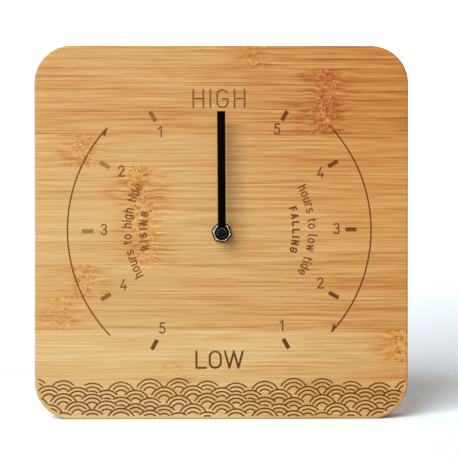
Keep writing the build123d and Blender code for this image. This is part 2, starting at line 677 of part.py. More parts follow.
def screw(place, head_start, length):
    """A pan head screw that points forwards."""
    solid = rod(place, SCREW_HEAD_RADIUS, depth(head_start), depth(head_start + SCREW_HEAD_HEIGHT))
    solid += rod(place, SCREW_SHANK_RADIUS, depth(head_start - length), depth(head_start))
    slot = SCREW_SHANK_RADIUS / 2
    return solid - block(
        place[0] - SCREW_HEAD_RADIUS,
        place[0] + SCREW_HEAD_RADIUS,
        place[1] - slot / 2,
        place[1] + slot / 2,
        depth(head_start + SCREW_HEAD_HEIGHT / 2),
        depth(head_start + SCREW_HEAD_HEIGHT),
    )


def screw_hole(place, start, end):
    """The hole for a screw's shank between two depths."""
    return rod(place, SCREW_SHANK_RADIUS + PRESS_CLEARANCE, depth(start), depth(end))


def plate_screws():
    """Three screws that hold the gear plate on its posts."""
    return Compound(children=[screw(place, PLATE_END, SCREW_GRIP) for place in plate_screw_places])


def stator_screws():
    """Three screws through the stator: one into the plate's post, two through the core's ends."""
    places = [stator_screw_place] + core_screw_places
    return Compound(children=[screw(place, STATOR_END, SCREW_GRIP) for place in places])


def stator():
    """A soft iron U: a spine round the rotor and two arms that lie on the coil's core."""
    end = COIL_X + CORE_WIDTH / 2
    half = STATOR_ARM_WIDTH / 2
    start = depth(STATOR_START)
    stop = depth(STATOR_END)
    solid = block(SPINE_LEFT, SPINE_RIGHT, LOWER_ARM_Z - half, UPPER_ARM_Z + half, start, stop)
    for height in (LOWER_ARM_Z, UPPER_ARM_Z):
        solid += block(SPINE_LEFT, end, height - half, height + half, start, stop)
    solid -= rod(ROTOR, MAGNET_RADIUS + MAGNET_GAP, start, stop)
    for place in [stator_screw_place] + core_screw_places:
        solid -= screw_hole(place, STATOR_START, STATOR_END)
    return solid


def coil_core():
    """The flat iron core through the coil, screwed under the stator's arms."""
    half = CORE_WIDTH / 2
    solid = block(
        COIL_X - half,
        COIL_X + half,
        LOWER_ARM_Z - STATOR_ARM_WIDTH / 2,
        UPPER_ARM_Z + STATOR_ARM_WIDTH / 2,
        depth(CORE_START),
        depth(STATOR_START),
    )
    for place in core_screw_places:
        solid -= screw_hole(place, CORE_START, STATOR_START)
    return solid


def coil_tube(radius, bottom, top):
    """A round rod along Z on the coil's axis."""
    centre = Pos(COIL_X, depth(COIL_AXIS_DEPTH), SHAFT_Z + (bottom + top) / 2)
    return centre * Cylinder(radius, top - bottom)


def coil_bobbin():
    """A plastic bobbin with two flanges and a flat slot for the core."""
    solid = coil_tube(BOBBIN_TUBE_RADIUS, COIL_BOTTOM, COIL_TOP)
    solid += coil_tube(BOBBIN_FLANGE_RADIUS, COIL_BOTTOM, COIL_BOTTOM + BOBBIN_FLANGE_THICKNESS)
    solid += coil_tube(BOBBIN_FLANGE_RADIUS, COIL_TOP - BOBBIN_FLANGE_THICKNESS, COIL_TOP)
    half = CORE_WIDTH / 2 + PRESS_CLEARANCE
    return solid - block(
        COIL_X - half,
        COIL_X + half,
        COIL_BOTTOM,
        COIL_TOP,
        depth(CORE_START - PRESS_CLEARANCE),
        depth(STATOR_START + PRESS_CLEARANCE),
    )


def coil_winding():
    """The enamelled wire as one closed body between the flanges."""
    bottom = COIL_BOTTOM + BOBBIN_FLANGE_THICKNESS
    top = COIL_TOP - BOBBIN_FLANGE_THICKNESS
    return coil_tube(COIL_RADIUS, bottom, top) - coil_tube(BOBBIN_TUBE_RADIUS, bottom, top)


# Gear plate and circuit board
BOARD_PIN_RADIUS = 0.6
BOARD_PIN_RISE = 0.3
CIRCUIT_THICKNESS = 0.8
CIRCUIT_MARGIN = 1.5
CHIP_RADIUS = 2.6
CHIP_HEIGHT = 1.0
CRYSTAL_RADIUS = 1.0
CRYSTAL_LENGTH = 6.0

PLATE_LEFT = PLATE_LEFT_POST_X - SCREW_POST_RADIUS
PLATE_BOTTOM = LOWER_POST_Z - POST_INSET + LOOSE_CLEARANCE
PLATE_TOP = UPPER_ARM_Z + PLATE_MARGIN
CIRCUIT_LEFT = SPINE_RIGHT + CIRCUIT_MARGIN
CIRCUIT_RIGHT = PLATE_RIGHT
CIRCUIT_BOTTOM = LOWER_ARM_Z + STATOR_ARM_WIDTH / 2 + CIRCUIT_MARGIN
CIRCUIT_TOP = UPPER_ARM_Z - STATOR_ARM_WIDTH / 2 - CIRCUIT_MARGIN
CIRCUIT_END = PLATE_END + CIRCUIT_THICKNESS
CRYSTAL_LEFT = CIRCUIT_LEFT + 2 * CRYSTAL_RADIUS
CRYSTAL_PLACE_Z = CIRCUIT_BOTTOM + CRYSTAL_RADIUS + RUNNING_CLEARANCE
CHIP_PLACE = ((CIRCUIT_LEFT + CIRCUIT_RIGHT) / 2, (CIRCUIT_BOTTOM + CIRCUIT_TOP) / 2 + CRYSTAL_RADIUS)
board_pin_places = [
    (CIRCUIT_LEFT + CIRCUIT_MARGIN, CIRCUIT_TOP - CIRCUIT_MARGIN),
    (CIRCUIT_RIGHT - CIRCUIT_MARGIN, CIRCUIT_TOP - CIRCUIT_MARGIN),
]


def gear_plate():
    """A moulded plate with the rear bearings of the train and two pins for the circuit board."""
    start = depth(PLATE_START)
    stop = depth(PLATE_END)
    solid = block(PLATE_LEFT, PLATE_RIGHT, PLATE_BOTTOM, PLATE_TOP, start, stop)
    for place in board_pin_places:
        solid += rod(place, BOARD_PIN_RADIUS, start, depth(CIRCUIT_END + BOARD_PIN_RISE))
    for place in (THIRD, FOURTH, FIFTH):
        solid -= rod(place, PIVOT_RADIUS + RUNNING_CLEARANCE, start, stop)
    solid -= rod(CENTRE, CENTRE_PIVOT_RADIUS + RUNNING_CLEARANCE, start, stop)
    solid -= rod(ROTOR, pitch_radius(LEAF_TEETH, ROTOR_MODULE) + MAGNET_GAP, start, stop)
    for place in plate_screw_places + [stator_screw_place]:
        solid -= screw_hole(place, PLATE_START, PLATE_END)
    return solid


def circuit_board():
    """The circuit board on the plate, with a notch for the crystal and two pin holes."""
    start = depth(PLATE_END)
    stop = depth(CIRCUIT_END)
    solid = block(CIRCUIT_LEFT, CIRCUIT_RIGHT, CIRCUIT_BOTTOM, CIRCUIT_TOP, start, stop)
    solid -= block(
        CRYSTAL_LEFT - LOOSE_CLEARANCE,
        CRYSTAL_LEFT + CRYSTAL_LENGTH + PRESS_CLEARANCE,
        CIRCUIT_BOTTOM,
        CRYSTAL_PLACE_Z + CRYSTAL_RADIUS + PRESS_CLEARANCE,
        start,
        stop,
    )
    for place in board_pin_places:
        solid -= rod(place, BOARD_PIN_RADIUS + PRESS_CLEARANCE, start, stop)
    return solid


def clock_chip():
    """The chip under a round drop of black resin."""
    ball_radius = (CHIP_RADIUS**2 + CHIP_HEIGHT**2) / (2 * CHIP_HEIGHT)
    ball_y = depth(CIRCUIT_END + CHIP_HEIGHT) - ball_radius
    ball = Pos(CHIP_PLACE[0], ball_y, CHIP_PLACE[1] + SHAFT_Z) * Sphere(ball_radius)
    return rod(CHIP_PLACE, CHIP_RADIUS, depth(CIRCUIT_END), depth(CIRCUIT_END + CHIP_HEIGHT)) & ball


def quartz_crystal():
    """The crystal's metal can, lying in its notch on the plate."""
    middle = CRYSTAL_LEFT + CRYSTAL_LENGTH / 2
    place = Pos(middle, depth(PLATE_END + CRYSTAL_RADIUS), SHAFT_Z + CRYSTAL_PLACE_Z)
    return place * Rot(0, 90, 0) * Cylinder(CRYSTAL_RADIUS, CRYSTAL_LENGTH)


# Coil leads: two short wires from the winding to the circuit board
LEAD_RADIUS = 0.15
LEAD_HEIGHT_SHARES = (0.3, 0.7)


def coil_leads():
    """Two straight wires that lie just over the board and end on the winding."""
    lead_depth = CIRCUIT_END + LEAD_RADIUS + PRESS_CLEARANCE
    rise = lead_depth - COIL_AXIS_DEPTH
    end = COIL_X - sqrt(COIL_RADIUS**2 - (rise - LEAD_RADIUS) ** 2)
    start = CIRCUIT_RIGHT - CIRCUIT_MARGIN
    leads = []
    for share in LEAD_HEIGHT_SHARES:
        height = COIL_BOTTOM + share * (COIL_TOP - COIL_BOTTOM)
        place = Pos((start + end) / 2, depth(lead_depth), SHAFT_Z + height)
        leads.append(place * Rot(0, 90, 0) * Cylinder(LEAD_RADIUS, end - start))
    return Compound(children=leads)


# Battery and its contacts
SLEEVE_THICKNESS = 0.2
SLEEVE_REVEAL = 0.8
CONTACT_THICKNESS = 0.3
CONTACT_HALF_WIDTH = 5.0
STRIP_WIDTH = 1.5
STRIP_LIFT = 0.2

BATTERY_TIP_X = INNER_HALF - BATTERY_NUB_GAP
BATTERY_SHOULDER_X = BATTERY_TIP_X - BATTERY_NUB_LENGTH
BATTERY_END_X = BATTERY_SHOULDER_X - BATTERY_BODY_LENGTH
STRIP_START = STATOR_END + STRIP_LIFT
STRIP_END = STRIP_START + CONTACT_THICKNESS
STRIP_TURN_Z = LOWER_ARM_Z - STATOR_ARM_WIDTH / 2 - 2 * STRIP_WIDTH


def battery_tube(radius, left, right):
    """A round rod along X on the battery's axis."""
    place = Pos((left + right) / 2, depth(BATTERY_DEPTH), SHAFT_Z + BATTERY_Z)
    return place * Rot(0, 90, 0) * Cylinder(radius, right - left)


def battery_can():
    """The steel can with its nub."""
    solid = battery_tube(BATTERY_RADIUS - SLEEVE_THICKNESS, BATTERY_END_X, BATTERY_SHOULDER_X)
    return solid + battery_tube(BATTERY_NUB_RADIUS, BATTERY_SHOULDER_X, BATTERY_TIP_X)


def battery_sleeve():
    """The plastic sleeve shrunk on the can."""
    left = BATTERY_END_X + SLEEVE_REVEAL
    right = BATTERY_SHOULDER_X - SLEEVE_REVEAL
    inner = BATTERY_RADIUS - SLEEVE_THICKNESS
    return battery_tube(BATTERY_RADIUS, left, right) - battery_tube(inner, left, right)


def contact_strip(side, end_x):
    """The flat strip from a contact, through the chamber's wall and over to the circuit board."""
    outer = side * (INNER_HALF - LOOSE_CLEARANCE)
    inner = side * (INNER_HALF - LOOSE_CLEARANCE - STRIP_WIDTH)
    left, right = sorted((outer, inner))
    start = depth(STRIP_START)
    stop = depth(STRIP_END)
    bottom = BATTERY_Z + CONTACT_HALF_WIDTH
    strip = block(left, right, bottom, STRIP_TURN_Z + STRIP_WIDTH, start, stop)
    low, high = sorted((inner, end_x))
    strip += block(low, high, STRIP_TURN_Z, STRIP_TURN_Z + STRIP_WIDTH, start, stop)
    left, right = sorted((end_x, end_x + side * STRIP_WIDTH))
    return strip + block(left, right, STRIP_TURN_Z, CIRCUIT_BOTTOM + STRIP_WIDTH, start, stop)


def contact_plate(side):
    """The upright plate of a contact against the end wall of the chamber."""
    outer = side * (INNER_HALF - LOOSE_CLEARANCE)
    left, right = sorted((outer, outer - side * CONTACT_THICKNESS))
    start = depth(CASE_WALL + LOOSE_CLEARANCE)
    return block(
        left, right, BATTERY_Z - CONTACT_HALF_WIDTH, BATTERY_Z + CONTACT_HALF_WIDTH, start, depth(STRIP_END)
    )


def battery_contact_positive():
    """The flat contact at the nub's end."""
    return contact_plate(1) + contact_strip(1, CIRCUIT_RIGHT - STRIP_WIDTH)


def battery_contact_negative():
    """The contact at the flat end, with a bowed leaf that presses on the cell."""
    wall = -INNER_HALF + LOOSE_CLEARANCE + CONTACT_THICKNESS
    crest = BATTERY_END_X - PRESS_CLEARANCE
    foot = CONTACT_HALF_WIDTH - CONTACT_THICKNESS
    back = wall - CONTACT_THICKNESS
    leaf = make_face(
        Polyline(
            (back, -foot), (wall, -foot), (crest, -CONTACT_THICKNESS), (crest, CONTACT_THICKNESS),
            (wall, foot), (back, foot), (crest - CONTACT_THICKNESS, 0), (back, -foot),
        )
    )
    half = CONTACT_HALF_WIDTH / 2
    middle = depth(BATTERY_DEPTH)
    bowed = slab(at((0, BATTERY_Z), leaf), middle - half, middle + half)
    return contact_plate(-1) + contact_strip(-1, CIRCUIT_LEFT + CIRCUIT_MARGIN) + bowed


# Movement case and cover
BOSS_RADIUS = 1.5
SNAP_WIDTH = 6.0
SNAP_THICKNESS = 0.8
SNAP_LENGTH = 4.0
SNAP_HOOK = 0.7
SNAP_Z = 16.0
KNOB_RADIUS = 5.5
KNOB_STAND_OUT = 0.4
KNOB_RECESS_GAP = 0.7
RECESS_DEPTH = 1.4
KNOB_RIBS = 24
KNOB_RIB_RADIUS = 0.3
STEM_RADIUS = 1.0
STEM_PIVOT_RADIUS = 0.8

RECESS_FLOOR = CASE_DEPTH - RECESS_DEPTH
RECESS_UNDERSIDE = RECESS_FLOOR - CHAMBER_WALL


def plan(bottom, top, inset):
    """A rectangle of the movement's plan between two heights, drawn in from the sides."""
    half = CASE_SIDE / 2 - inset
    return at((0, (bottom + top) / 2), Rectangle(2 * half, top - bottom))


def movement_case():
    """The front shell: floor, side walls, battery chamber, bosses, posts and snap windows."""
    half = CASE_SIDE / 2
    outline = at(CENTRE, RectangleRounded(CASE_SIDE, CASE_SIDE, CASE_CORNER_RADIUS))
    body = slab(outline, depth(0), depth(CASE_DEPTH))
    over = depth(CASE_DEPTH + CUT_OVERRUN)
    body -= slab(plan(DIVIDER_TOP, half - CASE_WALL, CASE_WALL), depth(CASE_WALL), over)
    body -= slab(plan(-half + CASE_WALL, CHAMBER_TOP, CASE_WALL), depth(CASE_WALL), over)
    body -= slab(plan(CHAMBER_TOP, half + CUT_OVERRUN, -CUT_OVERRUN), depth(COVER_START), over)
    for place in plate_screw_places + [stator_screw_place]:
        body += rod(place, SCREW_POST_RADIUS, depth(0), depth(PLATE_START))
        body -= screw_hole(place, PLATE_END - SCREW_GRIP - PRESS_CLEARANCE, PLATE_START)
    for place in core_screw_places:
        body += rod(place, SCREW_POST_RADIUS, depth(0), depth(CORE_START))
        body -= screw_hole(place, STATOR_END - SCREW_GRIP - PRESS_CLEARANCE, CORE_START)
    bearings = (
        (THIRD, THIRD_PINION_START),
        (FOURTH, FOURTH_PINION_START),
        (FIFTH, FIFTH_PINION_START),
        (ROTOR, ROTOR_PINION_START),
    )
    for place, pinion_start in bearings:
        top = pinion_start - WHEEL_GAP
        body += rod(place, BOSS_RADIUS, depth(0), depth(top))
        hole = PIVOT_RADIUS + RUNNING_CLEARANCE
        body -= rod(place, hole, depth(top - PIVOT_LENGTH - RUNNING_CLEARANCE), depth(top))
    body += rod(MINUTE, POST_RADIUS, depth(0), depth(MINUTE_WHEEL_END + WHEEL_GAP))
    body += rod(SETTING, STEM_RADIUS + CHAMBER_WALL, depth(0), depth(CANNON_START - LOOSE_CLEARANCE))
    stem_hole = STEM_PIVOT_RADIUS + RUNNING_CLEARANCE
    body -= rod(SETTING, stem_hole, depth(CASE_WALL), depth(CANNON_START))
    body -= rod(CENTRE, THREAD_RADIUS + PRESS_CLEARANCE, depth(0), depth(CASE_WALL))
    for side in (-1, 1):
        left, right = sorted((side * (INNER_HALF - STRIP_WIDTH - 2 * LOOSE_CLEARANCE), side * INNER_HALF))
        body -= block(left, right, CHAMBER_TOP, DIVIDER_TOP, depth(STATOR_END), over)
        left, right = sorted((side * INNER_HALF, side * (half + CUT_OVERRUN)))
        reach = SNAP_WIDTH / 2 + LOOSE_CLEARANCE
        window_start = COVER_START - SNAP_LENGTH - LOOSE_CLEARANCE
        window_end = COVER_START - SNAP_LENGTH + 2 * SNAP_HOOK + LOOSE_CLEARANCE
        body -= block(left, right, SNAP_Z - reach, SNAP_Z + reach, depth(window_start), depth(window_end))
    return body


def movement_cover():
    """The rear cover with its snap legs, knob recess and rotor bearing."""
    half = CASE_SIDE / 2
    bottom = CHAMBER_TOP + PRESS_CLEARANCE
    outline = at(CENTRE, RectangleRounded(CASE_SIDE, CASE_SIDE, CASE_CORNER_RADIUS))
    cover = slab(outline & plan(bottom, half, 0), depth(COVER_START), depth(CASE_DEPTH))
    recess = KNOB_RADIUS + KNOB_RECESS_GAP
    cover += rod(SETTING, recess + SNAP_THICKNESS, depth(RECESS_UNDERSIDE), depth(CASE_DEPTH))
    cover -= rod(SETTING, recess, depth(RECESS_FLOOR), depth(CASE_DEPTH + CUT_OVERRUN))
    cover -= rod(SETTING, STEM_RADIUS + RUNNING_CLEARANCE, depth(RECESS_UNDERSIDE), depth(RECESS_FLOOR))
    boss_front = MAGNET_END + WHEEL_GAP
    cover += rod(ROTOR, COLLAR_RADIUS, depth(boss_front), depth(COVER_START))
    pivot_hole = PIVOT_RADIUS + RUNNING_CLEARANCE
    cover -= rod(ROTOR, pivot_hole, depth(boss_front), depth(ROTOR_REAR + RUNNING_CLEARANCE))
    for side in (-1, 1):
        outer = side * (INNER_HALF - PRESS_CLEARANCE)
        left, right = sorted((outer, outer - side * SNAP_THICKNESS))
        start = COVER_START - SNAP_LENGTH
        low = SNAP_Z - SNAP_WIDTH / 2
        high = SNAP_Z + SNAP_WIDTH / 2
        cover += block(left, right, low, high, depth(start), depth(COVER_START))
        left, right = sorted((outer, outer + side * SNAP_HOOK))
        cover += block(left, right, low, high, depth(start), depth(start + SNAP_HOOK))
    return cover


def setting_knob():
    """The ribbed knob that sets the hand, on a stem with a pinion that turns the minute wheel."""
    line = angle_between(MINUTE, SETTING)
    tooth_pitch = 360 / MINUTE_TEETH
    offset = (line - minute_side_turn() + tooth_pitch / 2) % tooth_pitch - tooth_pitch / 2
    turn = mating_turn(line, CANNON_TEETH) + offset * MINUTE_TEETH / CANNON_TEETH
    pinion = gear(CANNON_TEETH, MINUTE_MODULE, turn)
    solid = slab(at(SETTING, pinion), depth(CANNON_START), depth(CANNON_END))
    knob_start = RECESS_FLOOR + LOOSE_CLEARANCE
    knob_end = CASE_DEPTH + KNOB_STAND_OUT
    solid += rod(SETTING, STEM_RADIUS, depth(CANNON_END), depth(knob_start))
    solid += rod(SETTING, STEM_PIVOT_RADIUS, depth(CASE_WALL + LOOSE_CLEARANCE), depth(CANNON_START))
    solid += rod(SETTING, KNOB_RADIUS - KNOB_RIB_RADIUS, depth(knob_start), depth(knob_end))
    for rib in range(KNOB_RIBS):
        place = from_place(SETTING, KNOB_RADIUS - KNOB_RIB_RADIUS, 360 * rib / KNOB_RIBS)
        solid += rod(place, KNOB_RIB_RADIUS, depth(knob_start), depth(knob_end))
    return solid


PIECES = {
    "dial_board": dial_board,
    "keyhole_hanger": keyhole_hanger,
    "hanger_screws": hanger_screws,
    "hex_nut": hex_nut,
    "rubber_gasket": rubber_gasket,
    "threaded_bush": threaded_bush,
    "hand_blade": hand_blade,
    "hand_collet": hand_collet,
    "hand_cap": hand_cap,
    "movement_case": movement_case,
    "movement_cover": movement_cover,
    "setting_knob": setting_knob,
    "tide_wheel": tide_wheel,
    "minute_wheel": minute_wheel,
    "centre_arbor": centre_arbor,
    "centre_wheel": centre_wheel,
    "clutch_spring": clutch_spring,
    "third_wheel": third_wheel,
    "fourth_wheel": fourth_wheel,
    "fifth_wheel": fifth_wheel,
    "rotor_pinion": rotor_pinion,
    "rotor_magnet": rotor_magnet,
    "stator": stator,
    "stator_screws": stator_screws,
    "coil_core": coil_core,
    "coil_bobbin": coil_bobbin,
    "coil_winding": coil_winding,
    "coil_leads": coil_leads,
    "gear_plate": gear_plate,
    "plate_screws": plate_screws,
    "circuit_board": circuit_board,
    "clock_chip": clock_chip,
    "quartz_crystal": quartz_crystal,
    "battery_can": battery_can,
    "battery_sleeve": battery_sleeve,
    "battery_contact_positive": battery_contact_positive,
    "battery_contact_negative": battery_contact_negative,
}

for name, build in PIECES.items():
    write(name, build())
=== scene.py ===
import math
from itertools import groupby

import bmesh
import bpy
from mathutils import Matrix, Vector
from mathutils.geometry import delaunay_2d_cdt


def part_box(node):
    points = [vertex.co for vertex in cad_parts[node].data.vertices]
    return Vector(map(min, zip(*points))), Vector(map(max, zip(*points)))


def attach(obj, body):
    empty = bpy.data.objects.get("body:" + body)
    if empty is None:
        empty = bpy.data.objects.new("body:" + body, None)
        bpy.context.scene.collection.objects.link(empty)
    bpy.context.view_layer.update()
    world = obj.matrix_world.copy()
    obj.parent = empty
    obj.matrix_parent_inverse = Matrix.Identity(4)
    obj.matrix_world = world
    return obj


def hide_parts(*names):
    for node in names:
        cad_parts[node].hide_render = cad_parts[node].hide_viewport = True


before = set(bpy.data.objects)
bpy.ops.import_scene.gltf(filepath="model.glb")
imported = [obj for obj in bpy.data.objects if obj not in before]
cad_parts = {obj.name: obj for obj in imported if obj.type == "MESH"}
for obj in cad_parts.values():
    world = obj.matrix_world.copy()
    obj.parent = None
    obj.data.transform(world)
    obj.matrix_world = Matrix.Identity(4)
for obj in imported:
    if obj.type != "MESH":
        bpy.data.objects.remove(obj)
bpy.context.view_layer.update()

# Dial board: a thick bamboo board, glued up from flat strips that run from side to side
# in four plies. Its edges are rounded over, the dial is burnt into its face with a laser,
# and a square pocket and a hanger recess are milled into its back.
MM = 0.001
SHARP_ANGLE = math.radians(40)
board_low, board_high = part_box("dial_board")
BOARD_HALF = (board_high.x - board_low.x) / 2 / MM
BOARD_CENTRE_Z = (board_high.z + board_low.z) / 2 / MM
FACE_Y = board_low.y / MM
REAR_Y = board_high.y / MM
CORNER_RADIUS = 20.0
CORNER_STEPS = 20
EDGE_RADIUS = 1.0
EDGE_STEPS = 5
SHAFT_HOLE_RADIUS = 3.7
POCKET_HALF = 31.0
POCKET_CORNER = 6.0
POCKET_FLOOR_Y = -6.5
RIM_CHAMFER = 0.4
BURN_DEPTH = 0.3
CORNER_DECIMALS = 4
CROSSING_GAP = 1e-5


def bow(x, z, radius_x, radius_z, start, end, step_angle=15):
    """Points along a round stretch, from one angle in degrees to another."""
    steps = round(abs(end - start) / step_angle)
    turns = [math.radians(start + (end - start) * step / steps) for step in range(steps + 1)]
    return [(x + radius_x * math.cos(turn), z + radius_z * math.sin(turn)) for turn in turns]


def rounded_box(half_width, half_height, radius, centre_z, steps=CORNER_STEPS):
    """A rectangle with round corners as a ring of (x, z), anticlockwise as seen from the front."""
    x, z = half_width - radius, half_height - radius
    corners = ((x, -z, -90), (x, z, 0), (-x, z, 90), (-x, -z, 180))
    ring = []
    for right, up, start in corners:
        ring += bow(right, centre_z + up, radius, radius, start, start + 90, 90 / steps)
    return ring


def circle_ring(x, z, radius, steps=48):
    """A circle as a ring of (x, z), anticlockwise as seen from the front."""
    return bow(x, z, radius, radius, 0, 360, 360 / steps)[:-1]


def divided(rings):
    """Triangles that fill rings which may cross, each with the set of rings it lies in."""
    points = []
    loops = []
    for ring in rings:
        loops.append(list(range(len(points), len(points) + len(ring))))
        points.extend(ring)
    inputs = [Vector(point) for point in points]
    places, _, faces, origins, _, owners = delaunay_2d_cdt(inputs, [], loops, 1, CROSSING_GAP, True)
    exact = []
    for place, origin in zip(places, origins):
        exact.append(points[origin[0]] if origin else tuple(place))
    return exact, [(tuple(face), set(owner)) for face, owner in zip(faces, owners)]


def in_scene(name, data):
    """A new object at the origin, linked to the scene."""
    made = bpy.data.objects.new(name, data)
    bpy.context.scene.collection.objects.link(made)
    return made


class Shell:
    """Collects faces by their corner places, in millimetres, and joins corners that meet."""

    def __init__(self):
        self.corners = {}
        self.faces = []
        self.marks = []

    def face(self, corners, finish=0, smooth=False):
        """Adds one face, anticlockwise as seen from outside."""
        numbers = []
        for corner in corners:
            key = tuple(round(value, CORNER_DECIMALS) for value in corner)
            number = self.corners.setdefault(key, len(self.corners))
            if number not in numbers:
                numbers.append(number)
        if len(numbers) > 2:
            self.faces.append(numbers)
            self.marks.append((finish, smooth))

    def band(self, ring, y, next_ring, next_y):
        """Adds the faces between two like rings, outwards for anticlockwise rings front to back."""
        for number in range(len(ring)):
            after = (number + 1) % len(ring)
            a, b = ring[number], ring[after]
            c, d = next_ring[number], next_ring[after]
            quad = [(a[0], y, a[1]), (c[0], next_y, c[1]), (d[0], next_y, d[1]), (b[0], y, b[1])]
            self.face(quad, smooth=True)

    def piece(self, name, *finishes):
        """Makes the mesh object, at the origin, in metres."""
        mesh = bpy.data.meshes.new(name)
        mesh.from_pydata([Vector(corner) * MM for corner in self.corners], [], self.faces)
        for finish in finishes:
            mesh.materials.append(finish)
        mesh.set_sharp_from_angle(angle=SHARP_ANGLE)
        for polygon, (finish, smooth) in zip(mesh.polygons, self.marks):
            polygon.material_index = finish
            polygon.use_smooth = smooth
        return in_scene(name, mesh)


# Dial lettering: plain single-stroke characters, as a laser draws them. Each is a list of
# strokes in a box one high, and is placed upright or round a circle, with its own line width.
LEAST_STEP = 0.001
LEAST_MITRE = 0.5


def bowl(x, z, radius_x, radius_z):
    """A closed round, drawn as its right and its left half."""
    return [bow(x, z, radius_x, radius_z, start, start + 180) for start in (-90, 90)]


def straights(*corners):
    """Separate straight strokes from each corner to the next."""
    return [[start, end] for start, end in zip(corners, corners[1:])]


# Each character's width and strokes
CHARACTERS = {
    "1": (0.27, [[(0.0, 0.76), (0.25, 1.0), (0.25, 0.0)]]),
    "2": (0.52, [bow(0.25, 0.75, 0.24, 0.25, 172, -38) + [(0.0, 0.0), (0.52, 0.0)]]),
    "3": (0.5, [bow(0.24, 0.76, 0.23, 0.24, 155, -90), bow(0.24, 0.26, 0.26, 0.26, 90, -155)]),
    "4": (0.56, [[(0.34, 1.0), (0.0, 0.26), (0.56, 0.26)], [(0.42, 0.46), (0.42, 0.0)]]),
    "5": (0.5, [[(0.46, 1.0), (0.08, 1.0), (0.05, 0.58)], bow(0.23, 0.32, 0.27, 0.32, 126, -150)]),
    "H": (0.58, [[(0, 0), (0, 1)], [(0.58, 0), (0.58, 1)], [(0, 0.5), (0.58, 0.5)]]),
    "I": (0.0, [[(0, 0), (0, 1)]]),
    "G": (0.6, [
        bow(0.3, 0.73, 0.3, 0.27, 28, 180) + bow(0.3, 0.27, 0.3, 0.27, 180, 360)
        + [(0.6, 0.48), (0.31, 0.48)],
    ]),
    "L": (0.56, [[(0, 1), (0, 0), (0.56, 0)]]),
    "O": (0.68, [
        bow(0.34, 0.68, 0.34, 0.32, 0, 180) + [(0.0, 0.5)],
        [(0.0, 0.5)] + bow(0.34, 0.32, 0.34, 0.32, 180, 360) + [(0.68, 0.68)],
    ]),
    "W": (1.1, straights((0, 1), (0.27, 0), (0.55, 1), (0.83, 0), (1.1, 1))),
    "F": (0.46, [[(0, 0), (0, 1), (0.46, 1)], [(0, 0.5), (0.4, 0.5)]]),
    "A": (0.62, straights((0, 0), (0.31, 1), (0.62, 0)) + [[(0.1, 0.28), (0.52, 0.28)]]),
    "N": (0.54, straights((0, 0), (0, 1), (0.54, 0), (0.54, 1))),
    "R": (0.52, [
        [(0, 0), (0, 1)],
        [(0, 1), (0.25, 1)] + bow(0.25, 0.74, 0.24, 0.26, 90, -90) + [(0, 0.48)],
        [(0.27, 0.48), (0.52, 0)],
    ]),
    "S": (0.5, [bow(0.25, 0.75, 0.23, 0.25, 40, 235) + bow(0.25, 0.26, 0.25, 0.26, 60, -145)]),
    "h": (0.44, [[(0, 0), (0, 1)], [(0, 0.4)] + bow(0.22, 0.46, 0.22, 0.24, 170, 0) + [(0.44, 0)]]),
    "o": (0.5, bowl(0.25, 0.35, 0.25, 0.35)),
    "u": (0.44, [[(0, 0.7)] + bow(0.22, 0.24, 0.22, 0.24, 180, 350), [(0.44, 0.7), (0.44, 0)]]),
    "r": (0.28, [[(0, 0), (0, 0.7)], [(0, 0.38)] + bow(0.22, 0.42, 0.22, 0.28, 165, 75)]),
    "s": (0.4, [bow(0.2, 0.53, 0.18, 0.17, 40, 235) + bow(0.2, 0.18, 0.2, 0.18, 60, -145)]),
    "t": (0.32, [[(0.12, 0.94)] + bow(0.28, 0.16, 0.16, 0.16, 180, 275), [(0, 0.68), (0.3, 0.68)]]),
    "i": (0.0, [[(0, 0), (0, 0.64)], [(0, 0.95), (0, 1.0)]]),
    "g": (0.46, [
        *bowl(0.23, 0.36, 0.23, 0.34),
        [(0.46, 0.7)] + bow(0.23, -0.06, 0.23, 0.2, 0, -150),
    ]),
    "d": (0.46, bowl(0.23, 0.35, 0.23, 0.35) + [[(0.46, 1), (0.46, 0)]]),
    "e": (0.48, [[(0.0, 0.36), (0.48, 0.36)], bow(0.24, 0.35, 0.24, 0.35, 0, 318)]),
    "l": (0.12, [[(0, 1)] + bow(0.13, 0.12, 0.13, 0.12, 180, 270)]),
    "w": (0.66, straights((0, 0.7), (0.16, 0), (0.33, 0.66), (0.5, 0), (0.66, 0.7))),
    " ": (0.24, []),
}


def line_ring(points, width):
    """The outline of a stroke with square ends, as an anticlockwise ring."""
    path = [Vector(points[0])]
    for point in points[1:]:
        if (Vector(point) - path[-1]).length > LEAST_STEP:
            path.append(Vector(point))
    path[0] = path[0] + (path[0] - path[1]).normalized() * width / 2
    path[-1] = path[-1] + (path[-1] - path[-2]).normalized() * width / 2
    ways = [(end - start).normalized() for start, end in zip(path, path[1:])]
    left = []
    right = []
    for number, point in enumerate(path):
        before = ways[max(number - 1, 0)]
        after = ways[min(number, len(ways) - 1)]
        along = (before + after).normalized()
        across = Vector((-along.y, along.x))
        reach = width / 2 / max(LEAST_MITRE, along.dot(before))
        left.append(point + across * reach)
        right.append(point - across * reach)
    return [tuple(point) for point in right + left[::-1]]


def character_strokes(character, height, line, place):
    """The rings of one character, whose box points go through a function to the dial."""
    scale = height - line
    rings = []
    for stroke in CHARACTERS[character][1]:
        rings.append(line_ring([place(x * scale, z * scale + line / 2) for x, z in stroke], line))
    return rings


def spread_text(text, height, line, length, placed):
    """A word spread over a length. From a character's start and width, placed gives its place."""
    widths = [CHARACTERS[character][0] * (height - line) for character in text]
    gap = (length - sum(widths)) / (len(text) - 1)
    rings = []
    gone = 0.0
    for character, width in zip(text, widths):
        rings += character_strokes(character, height, line, placed(gone, width))
        gone += width + gap
    return rings


def row_of_text(text, height, line, left, right, bottom):
    """A straight word between two places along x."""

    def placed(gone, width):
        """Stands a character's box on the line."""
        return lambda x, z: (left + gone + x, bottom + z)

    return spread_text(text, height, line, right - left, placed)


